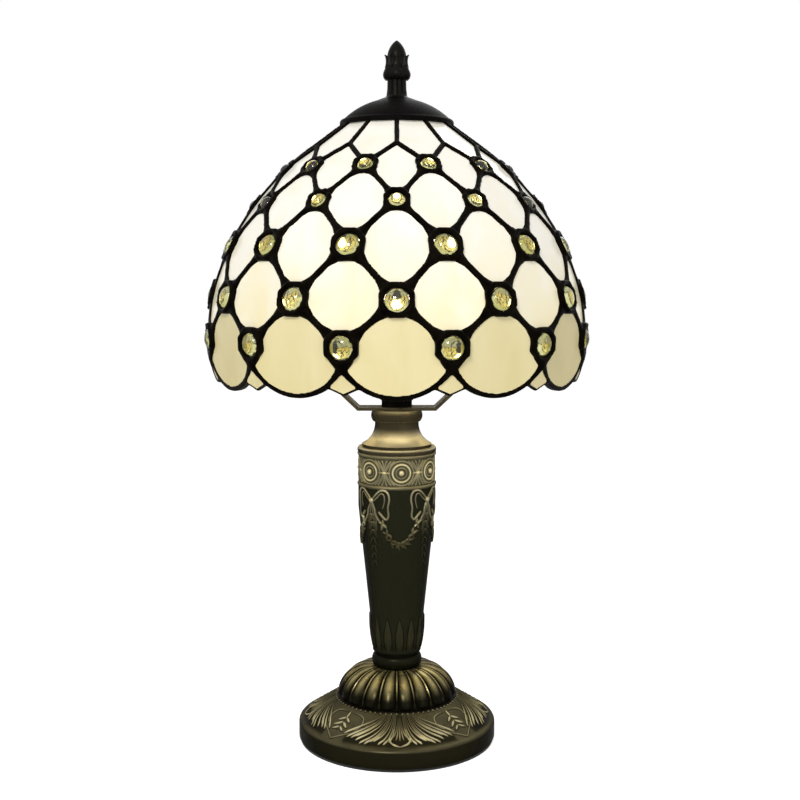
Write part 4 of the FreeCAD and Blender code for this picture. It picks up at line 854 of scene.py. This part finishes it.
spray = [bead("eye", 0.95, 0, MIDDLE, 1.5)]
for hand in (-1, 1):
    for way in (-1, 1):
        spray.append(strands("frond", [
            [(hand * 0.3, MIDDLE + way * 0.9, 0.35), (hand * 0.9, MIDDLE + way * 3.2, 0.5),
             (hand * 3.6, MIDDLE + way * 6.3, 0.3)],
            [(hand * 0.8, MIDDLE + way * 0.8, 0.3), (hand * 2.0, MIDDLE + way * 3.4, 0.42),
             (hand * 5.4, MIDDLE + way * 6.4, 0.3)],
            [(0, MIDDLE + way * 1.4, 0.3), (hand * 0.2, MIDDLE + way * 4, 0.42),
             (hand * 1.4, MIDDLE + way * 6.6, 0.3)]]))
    spray.append(put(leaf("petal", 2.6, 1.2, 0.5), hand * 0.6, MIDDLE, -hand * 90))
spray = laid(joined("spray", spray), on_column, 0.1)
sprays = around("sprays", spray, [7 + 360 / ROUNDELS * (step + 0.5) for step in range(ROUNDELS)])

# %% [markdown]
# A bow is a ribbon tied in a knot, with loops, tails and a string of husks that hangs from it. A
# ribbon's path is mirrored to both sides, and the strand's radius gives its swelling and thinning.

# %% Bows, tails and husks
BOWS, FIRST_BOW = 4, -40
paths = []
for hand in (-1, 1):
    paths.append([(0, 133.6, 0.5), (hand * 2.6, 136.6, 0.55), (hand * 5.6, 139.4, 0.6),
                  (hand * 9.2, 138.8, 0.6), (hand * 10.4, 134.6, 0.55), (hand * 9.2, 130, 0.5),
                  (hand * 10.0, 126, 0.6), (hand * 8.6, 123.2, 0.7), (hand * 6.6, 125.0, 0.8),
                  (hand * 4.4, 127.6, 0.6)])
    paths.append([(hand * 0.8, 132.8, 0.35), (hand * 3.4, 134.8, 0.4), (hand * 5.4, 137.6, 0.4),
                  (hand * 7.4, 137.0, 0.4), (hand * 7.8, 133.0, 0.35), (hand * 6.6, 129.6, 0.25)])
    paths.append([(0, 133.0, 0.5), (hand * 2.0, 129.4, 0.6), (hand * 2.4, 126.0, 0.6),
                  (hand * 4.6, 122.4, 0.7), (hand * 6.6, 120.4, 0.5)])
    paths.append([(0, 131.8, 0.4), (hand * 0.9, 128, 0.5), (hand * 1.2, 124.0, 0.35)])
bow = [strands("ribbon", paths, 0.9), bead("knot", 1.5, 0, 133.4)]
for step in range(7):
    up, size = 126.5 - 4.3 * step, 1.15 - 0.07 * step
    bow += [put(leaf("husk", 5.0 * size, 2.6 * size, 0.36), hand * 0.5, up, 180 + hand * 24)
            for hand in (-1, 1)]
    bow.append(bead("husk_bead", 0.6 * size, 0, up - 0.6))
bow = laid(joined("bow", bow), on_column)
bows = around("bows", bow, [FIRST_BOW + 90 * step for step in range(BOWS)])

# %% [markdown]
# A garland hangs between two bows and is fullest in the middle. Berries are set along the line,
# each with four leaves that lean with it.

# %% Garlands
garland = []
for step in range(-4, 5):
    share = abs(step / 4)
    across, up = 9.4 * step / 4, 110.2 + 11.0 * share ** 2.3
    lean = math.degrees(math.atan2(11.0 * 2.3 * share ** 1.3, 9.4)) * (1 if step > 0 else -1)
    full = 1.35 - 0.35 * share
    garland.append(bead("berry", 0.95 * full, across, up))
    for turn, size in ((lean - 60, 1.0), (lean - 120, 1.0), (lean + 60, 0.8), (lean + 125, 0.7)):
        garland.append(put(leaf("garland_leaf", 3.3 * full * size, 2.1 * full * size, 1.0),
                           across, up, turn))
garland = laid(joined("garland", garland), on_column)
garlands = around("garlands", garland, [FIRST_BOW + 45 + 90 * step for step in range(BOWS)])

# %% [markdown]
# Pointed leaves rise from the collar in two rows, the back row showing between the front ones. The
# edge of each front leaf is a fine raised line whose relief is set to that of a crease, so it
# shows as a painted dark shadow line round the leaf.

# %% Pointed leaves above the collar
LANCETS, LANCET_FOOT = 14, 50.0
blade = laid(put(leaf("lancet", 18.4, 6.2, 0.5, 0.45), 0, LANCET_FOOT), on_column)
set_relief(blade, 0.5)
edges = strands("lancet_edge", [[(hand * 2.9, 0, 0.2), (hand * 3.3, 5, 0.24), (hand * 3.0, 10.6, 0.25),
                                 (hand * 1.6, 15.6, 0.25), (0, 18.8, 0.2)] for hand in (-1, 1)])
# Painted shadow: the leaf's edge line takes the darkest crease colour.
edges = set_relief(laid(put(edges, 0, LANCET_FOOT), on_column), 0)
lancets = around("lancets", joined("lancet", [blade, edges]),
                 [360 / LANCETS * step + 6 for step in range(LANCETS)])
back_leaf = laid(put(leaf("back_leaf", 15.0, 4.0, 0.25, 0.5), 0, LANCET_FOOT + 1), on_column)
set_relief(back_leaf, GROUND)
backs = around("backs", back_leaf, [360 / LANCETS * (step + 0.5) + 6 for step in range(LANCETS)])
column = smooth(joined("column", [column, roundels, sprays, bows, garlands, lancets, backs]), 50)
dress(column, "base", COLUMN_BRONZE, "bronze", "column_casting")

# %% [markdown]
# ## Solder seams
#
# Solder is drawn along each seam with a hot iron and freezes as a rounded, slightly lumpy bead
# that swells where seams meet. The CAD net has square edges. A copy of it is merged, joined with
# a flare of solder wherever a seam meets a jewel, and rebuilt in small cubes, which a smoothing
# rounds off. Then it is swollen with a soft noise.

# %% Where the jewels sit
JEWEL_RINGS = ("first_jewels", "second_jewels", "third_jewels", "fourth_jewels", "fifth_jewels")


def seats(node):
    """Each jewel's middle, outward direction, radius, and its back and front along it, in mm."""
    corners = points_of(frame["nodes"][node])
    angle = np.degrees(np.arctan2(corners[:, 1], corners[:, 0]))
    start = 0 if np.min(np.abs((angle + 15) % 30 - 15)) < 1 else 15
    for step in range(12):
        near = corners[np.abs((angle - start - 30 * step + 180) % 360 - 180) < 14]
        middle = (near.min(axis=0) + near.max(axis=0)) / 2
        axis = np.linalg.svd(near - near.mean(axis=0), full_matrices=False)[2][2]
        axis *= np.sign(axis @ middle)
        out = (near - middle) @ axis
        spread = np.linalg.norm(near - middle - np.outer(out, axis), axis=1).max()
        yield Vector(middle), Vector(axis), float(spread), out.min(), out.max()


# %% [markdown]
# Solder piles up where the iron stops against a jewel, so a seam widens towards it. Each flare is
# a block that tapers along the seam. It is joined to the net before the net is rebuilt, so the
# two flow together.

# %% One flare
SMALL_JEWEL_MM = 4.5
NET_BEHIND_MM, FLARE_THICK_MM, FLARE_TAPER = 1.5, 3.6, 0.42


def hole(radius):
    """How much wider in mm the solder leaves a jewel of this radius showing."""
    return 0.0 if radius < SMALL_JEWEL_MM else 0.25


def flare(start, towards, axis, lengths, widths, thick):
    """A tapering block in mm that starts off a point and leans along a surface to another."""
    bpy.ops.object.select_all(action="DESELECT")
    bpy.ops.mesh.primitive_cube_add(size=MM)
    block = bpy.context.active_object
    block.scale = (widths[0], lengths[1] - lengths[0], thick)
    block.location.y = (lengths[0] + lengths[1]) / 2 * MM
    settle(block)
    pick(block, points_of(block)[:, 1] > (lengths[0] + lengths[1]) / 2)
    bpy.ops.transform.resize(value=(widths[1] / widths[0], 1, 0.8), center_override=(0, 0, 0))
    bpy.ops.object.mode_set(mode="OBJECT")
    along = (towards - start).normalized()
    out = (axis - along * axis.dot(along)).normalized()
    turn = Matrix((along.cross(out), along, out)).transposed()
    block.matrix_world = Matrix.Translation(start * MM) @ turn.to_4x4()
    return settle(block)


# %% Flares of solder where a seam meets a jewel
flares = []
for ring_name, next_name in zip(JEWEL_RINGS, JEWEL_RINGS[1:] + (None,)):
    below = list(seats(next_name)) if next_name else []
    for middle, axis, radius, inner, outer in seats(ring_name):
        start = middle + axis * (inner + (outer - inner - NET_BEHIND_MM) / 2)
        if not below:
            tail = start - Vector((0, 0, 10)) + axis * axis.z * 10
            flares.append(flare(start, tail, axis, (radius + 0.8, radius + 5.5), (10.4, 3.2),
                                FLARE_THICK_MM))
            continue
        for there in sorted(below, key=lambda seat: (seat[0] - middle).length)[:2]:
            end = there[0] + there[1] * (there[3] + (there[4] - there[3] - NET_BEHIND_MM) / 2)
            for place, towards, face, size in ((start, end, axis, radius),
                                               (end, start, there[1], there[2])):
                wide, long = (4.7, 5.6) if size < SMALL_JEWEL_MM else (6.3, 7.6)
                flares.append(flare(place, towards, face, (size + 1.2, size + long),
                                    (wide, wide * FLARE_TAPER), FLARE_THICK_MM))
print("solder flares", len(flares))

# %% The net rebuilt with its flares
VOXEL_MM, SWELL_MM, LUMP_MM, RIM_TRIM_MM = 0.58, 0.6, 0.35, 0.3
net = copy_of(frame["nodes"]["solder_net"])
bpy.ops.object.parent_clear(type="CLEAR_KEEP_TRANSFORM")
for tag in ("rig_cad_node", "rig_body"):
    del net[tag]
bpy.ops.object.mode_set(mode="EDIT")
bpy.ops.mesh.select_all(action="SELECT")
bpy.ops.mesh.remove_doubles(threshold=0.002 * MM)
bpy.ops.object.mode_set(mode="OBJECT")
net = joined("solder_cast", [net] + flares)
apply_modifier(net, "REMESH", mode="VOXEL", voxel_size=VOXEL_MM * MM)
apply_modifier(net, "SMOOTH", factor=0.5, iterations=7)
print("rebuilt net", len(net.data.polygons), "faces")

# %% Solder drawn back from the large jewels
corners = points_of(net)
for ring_name in JEWEL_RINGS:
    for middle, axis, radius, inner, outer in seats(ring_name):
        arm = corners - np.array(middle)
        arm -= np.outer(arm @ np.array(axis), axis)
        reach = np.linalg.norm(arm, axis=1)
        near = np.linalg.norm(corners - np.array(middle), axis=1) < radius + 3
        push = hole(radius) * np.clip(1 - np.abs(reach - radius) / 2.4, 0, 1) * near
        corners += arm / np.maximum(reach, 1e-6)[:, None] * push[:, None]
net.data.vertices.foreach_set("co", (corners * MM).ravel())
net.data.update()
print("widest the solder is drawn back:", hole(SMALL_JEWEL_MM), "mm")

# %% Swollen, lumpy seams
lumps = bpy.data.textures.new("solder_lumps", "CLOUDS")
lumps.noise_scale = 5 * MM
seams = net.vertex_groups.new(name="seams")
corners = points_of(net)
share = np.ones(len(corners))
for ring_name in JEWEL_RINGS:
    for middle, axis, radius, inner, outer in seats(ring_name):
        off = np.linalg.norm(corners - np.array(middle), axis=1) - radius
        share = np.minimum(share, np.clip((off - 0.3) / 2.2, 0.2, 1))
low = corners[:, 2].min()
share = np.where(share > 0.9, share * np.clip((corners[:, 2] - low - 9) / 7, 0, 1), share)
for level in np.unique(np.round(share, 1)):
    chosen = np.flatnonzero(np.round(share, 1) == level).tolist()
    seams.add(chosen, float(level), "REPLACE")
apply_modifier(net, "DISPLACE", strength=SWELL_MM * MM, mid_level=0.0, vertex_group="seams")
apply_modifier(net, "DISPLACE", strength=LUMP_MM * MM, mid_level=0.5, texture=lumps,
               vertex_group="seams")
apply_modifier(net, "DISPLACE", strength=-RIM_TRIM_MM * MM, mid_level=0.0,
               vertex_group="seams", invert_vertex_group=True)
apply_modifier(net, "SMOOTH", factor=0.5, iterations=2)
net_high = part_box("solder_net")[1]
reach = np.abs(points_of(net)[:, :2]).max()
pull_in = net_high.x / MM / reach
net.scale = (pull_in, pull_in, 1)
settle(net)
print("solder", len(net.data.polygons), "faces, drawn in by", round(pull_in, 4))

# %% [markdown]
# A piece is kept light, so the net is cut into quarters along two planes through the axis. The
# real net is one piece, and the cuts lie edge to edge.

# %% The net in quarters
quarters = []
for side_x in (-1, 1):
    for side_y in (-1, 1):
        quarter = copy_of(net)
        for normal in ((side_x, 0, 0), (0, side_y, 0)):
            bpy.ops.object.mode_set(mode="EDIT")
            bpy.ops.mesh.select_all(action="SELECT")
            bpy.ops.mesh.bisect(plane_co=(0, 0, 0), plane_no=normal, clear_inner=True,
                                use_fill=True, threshold=0.001 * MM)
            bpy.ops.object.mode_set(mode="OBJECT")
        quarter.name = quarter.data.name = f"solder_quarter_{len(quarters) + 1}"
        quarters.append(smooth(quarter, 60))
bpy.data.objects.remove(net)
for quarter in quarters:
    dress(quarter, "shade", SOLDER, "seam_solder", "solder_net")

# %% [markdown]
# ## Pressed jewels
#
# A jewel is a small lens of pressed glass with a smooth dome in front and a faceted back that
# scatters the light. It starts as a ball of triangles. Both halves are flattened, the front is
# shaded smooth, and the back keeps flat faces. Its seat is found from the CAD jewel, and each jewel
# is made by the same function to the radius and depth measured at its own seat.

# %% One jewel
def jewel(name, radius, dome, back):
    """A jewel that looks along +Z, in mm."""
    bpy.ops.object.select_all(action="DESELECT")
    bpy.ops.mesh.primitive_ico_sphere_add(subdivisions=3, radius=radius * MM)
    piece = bpy.context.active_object
    piece.name = piece.data.name = name
    places = points_of(piece)
    for side, depth in ((1, dome), (-1, back)):
        pick(piece, places[:, 2] * side > 0.01)
        bpy.ops.transform.resize(value=(1, 1, depth / radius), center_override=(0, 0, 0))
    bpy.ops.object.mode_set(mode="OBJECT")
    for face in piece.data.polygons:
        face.use_smooth = face.center.z > 0
    return piece


# %% Rings of jewels
DOME_SHARE, BACK_SHARE = 0.62, 0.38
for ring_name in JEWEL_RINGS:
    gems = []
    for middle, axis, radius, inner, outer in seats(ring_name):
        depth = outer - inner
        gem = jewel(ring_name, radius + hole(radius), depth * DOME_SHARE, depth * BACK_SHARE)
        gem.rotation_euler = axis.to_track_quat("Z", "Y").to_euler()
        gem.location = (middle + axis * (inner + depth * BACK_SHARE)) * MM
        gems.append(gem)
    print(ring_name, "radius", round(radius, 2), "depth", round(depth, 2))
    dress(settle(joined(ring_name + "_cut", gems)), "shade", JEWEL, "amber_glass", ring_name)

# %% [markdown]
# ## Finial
#
# The finial is a small iron casting in black: a fluted stem, a lower whorl of leaves that lie
# close, an upper whorl whose tips stand off, and a pointed bud. The stem and bud are spun, and a
# leaf is made once for each whorl.

# %% Finial
FINIAL_FOOT, FINIAL_TIP = 342.3, 371.5
finial_line = ([(6.8, FINIAL_FOOT)] + arc((6.8, FINIAL_FOOT), (5.3, 344.4), 2.0, 5, -1)
               + [(5.0, 347.0), (4.9, 351.2), (5.8, 351.7), (6.5, 352.6), (6.8, 353.8), (6.5, 355.2)]
               + [(5.9, 356.8), (5.2, 358.6), (4.9, 360.4), (5.0, 363.0)]
               + arc((5.0, 363.0), (0.5, FINIAL_TIP), 11.0, 8))
stem = spun("finial_stem", [(0, FINIAL_FOOT)] + finial_line + [(0, FINIAL_TIP)], 96)
places = points_of(stem)
flute = (np.round(np.degrees(np.arctan2(places[:, 1], places[:, 0])) / 3.75).astype(int) % 8)
pick(stem, (flute < 2) & (places[:, 2] > 344.3) & (places[:, 2] < 352.4))
bpy.ops.transform.resize(value=(0.86, 0.86, 1), center_override=(0, 0, 0))
bpy.ops.object.mode_set(mode="OBJECT")


def on_finial(flare, lift, top):
    """A function that lays a drawing on the finial and turns its upper part out by flare."""
    def place(across, up, out):
        line = np.interp(up, [height for _, height in finial_line], [r for r, _ in finial_line])
        span = line + out + lift + flare * np.clip((up - top + 2.5) / 2.5, 0, 1) ** 2
        angle = FRONT + across / 5.3
        return span * np.cos(angle), span * np.sin(angle), up
    return place


low_leaf = laid(put(leaf("low_leaf", 7.4, 5.2, 0.9, 0.38), 0, 351.6), on_finial(0, 0.1, 359.6))
low_leaves = around("low_leaves", low_leaf, [60 * step for step in range(6)])
high_leaf = laid(put(leaf("high_leaf", 6.6, 4.8, 0.8, 0.75), 0, 357.8), on_finial(0.9, 0, 364.4))
high_leaves = around("high_leaves", high_leaf, [30 + 60 * step for step in range(6)])
finial = smooth(joined("finial_cast", [stem, low_leaves, high_leaves]), 45)
dress(finial, "finial", CAST_BLACK, "black_metal", "finial")

# %% [markdown]
# ## Floor, light and camera
#
# The lamp stands on a pale floor in a white studio. The camera and mirrors see the world as white,
# while the light that falls on the lamp is dimmer, so pale glass keeps its colour.

# %% World
world = bpy.data.worlds.new("studio")
bpy.context.scene.world = world
world.use_nodes = True
light_path = add_node(world, "ShaderNodeLightPath")
seen = add_node(world, "ShaderNodeMath", {"operation": "MAXIMUM"},
                i0=(light_path, "Is Camera Ray"), i1=(light_path, "Is Glossy Ray"))
seen = add_node(world, "ShaderNodeMath", {"operation": "MAXIMUM"}, i0=(seen, "Value"),
                i1=(light_path, "Is Transmission Ray"))
level = add_node(world, "ShaderNodeMapRange", Value=(seen, "Value"), To_Min=0.27, To_Max=1.0)
world.node_tree.links.new(level.outputs["Result"],
                          world.node_tree.nodes["Background"].inputs["Strength"])
world.node_tree.nodes["Background"].inputs["Color"].default_value = (1, 1, 1, 1)

# %% Floor
bpy.ops.mesh.primitive_plane_add(size=6.0, location=(0, 0, 0))
floor = bpy.context.active_object
floor.name = "studio_floor"
FLOOR, floor_shader = new_material("white_studio_paper", Roughness=0.9,
                                   Base_Color=linear("#FAFAFA"))
floor_path = add_node(FLOOR, "ShaderNodeLightPath")
floor_glow = add_node(FLOOR, "ShaderNodeMath", {"operation": "MULTIPLY"},
                      i0=(floor_path, "Is Camera Ray"), i1=0.72)
link(FLOOR, floor_glow, "Value", floor_shader, "Emission Strength")
floor_shader.inputs["Emission Color"].default_value = (1, 1, 1, 1)
floor.data.materials.append(FLOOR)


# %% Lamps and camera
def soft_lamp(name, place, power, size, colour="#FFFFFF"):
    """A square soft lamp that looks at the middle of the object."""
    bpy.ops.object.light_add(type="AREA", location=place)
    lamp = bpy.context.active_object
    lamp.name = name
    lamp.data.energy, lamp.data.size = power, size
    lamp.data.color = linear(colour)[:3]
    aim = Vector((0, 0, cad_box[1].z / 2)) - Vector(place)
    lamp.rotation_euler = aim.to_track_quat("-Z", "Y").to_euler()
    return lamp


soft_lamp("key", (-0.3, -1.1, 0.95), 8.4, 0.35)
soft_lamp("fill", (0.7, -1.0, 0.5), 1.4, 0.6)
soft_lamp("back", (0.2, 1.0, 0.9), 3.0, 0.7)

LENS_MM, SENSOR_MM = 57.33, 36.0
CAMERA_BACK, CAMERA_HEIGHT, CAMERA_PITCH = 0.675, 0.2584, 6.24
bpy.ops.object.camera_add(location=(0, -CAMERA_BACK, CAMERA_HEIGHT),
                          rotation=(math.radians(90 - CAMERA_PITCH), 0, 0))
camera = bpy.context.active_object
camera.data.lens, camera.data.sensor_width = LENS_MM, SENSOR_MM
camera.data.shift_x = 0.004
bpy.context.scene.camera = camera
bpy.context.scene.view_settings.view_transform = "Standard"
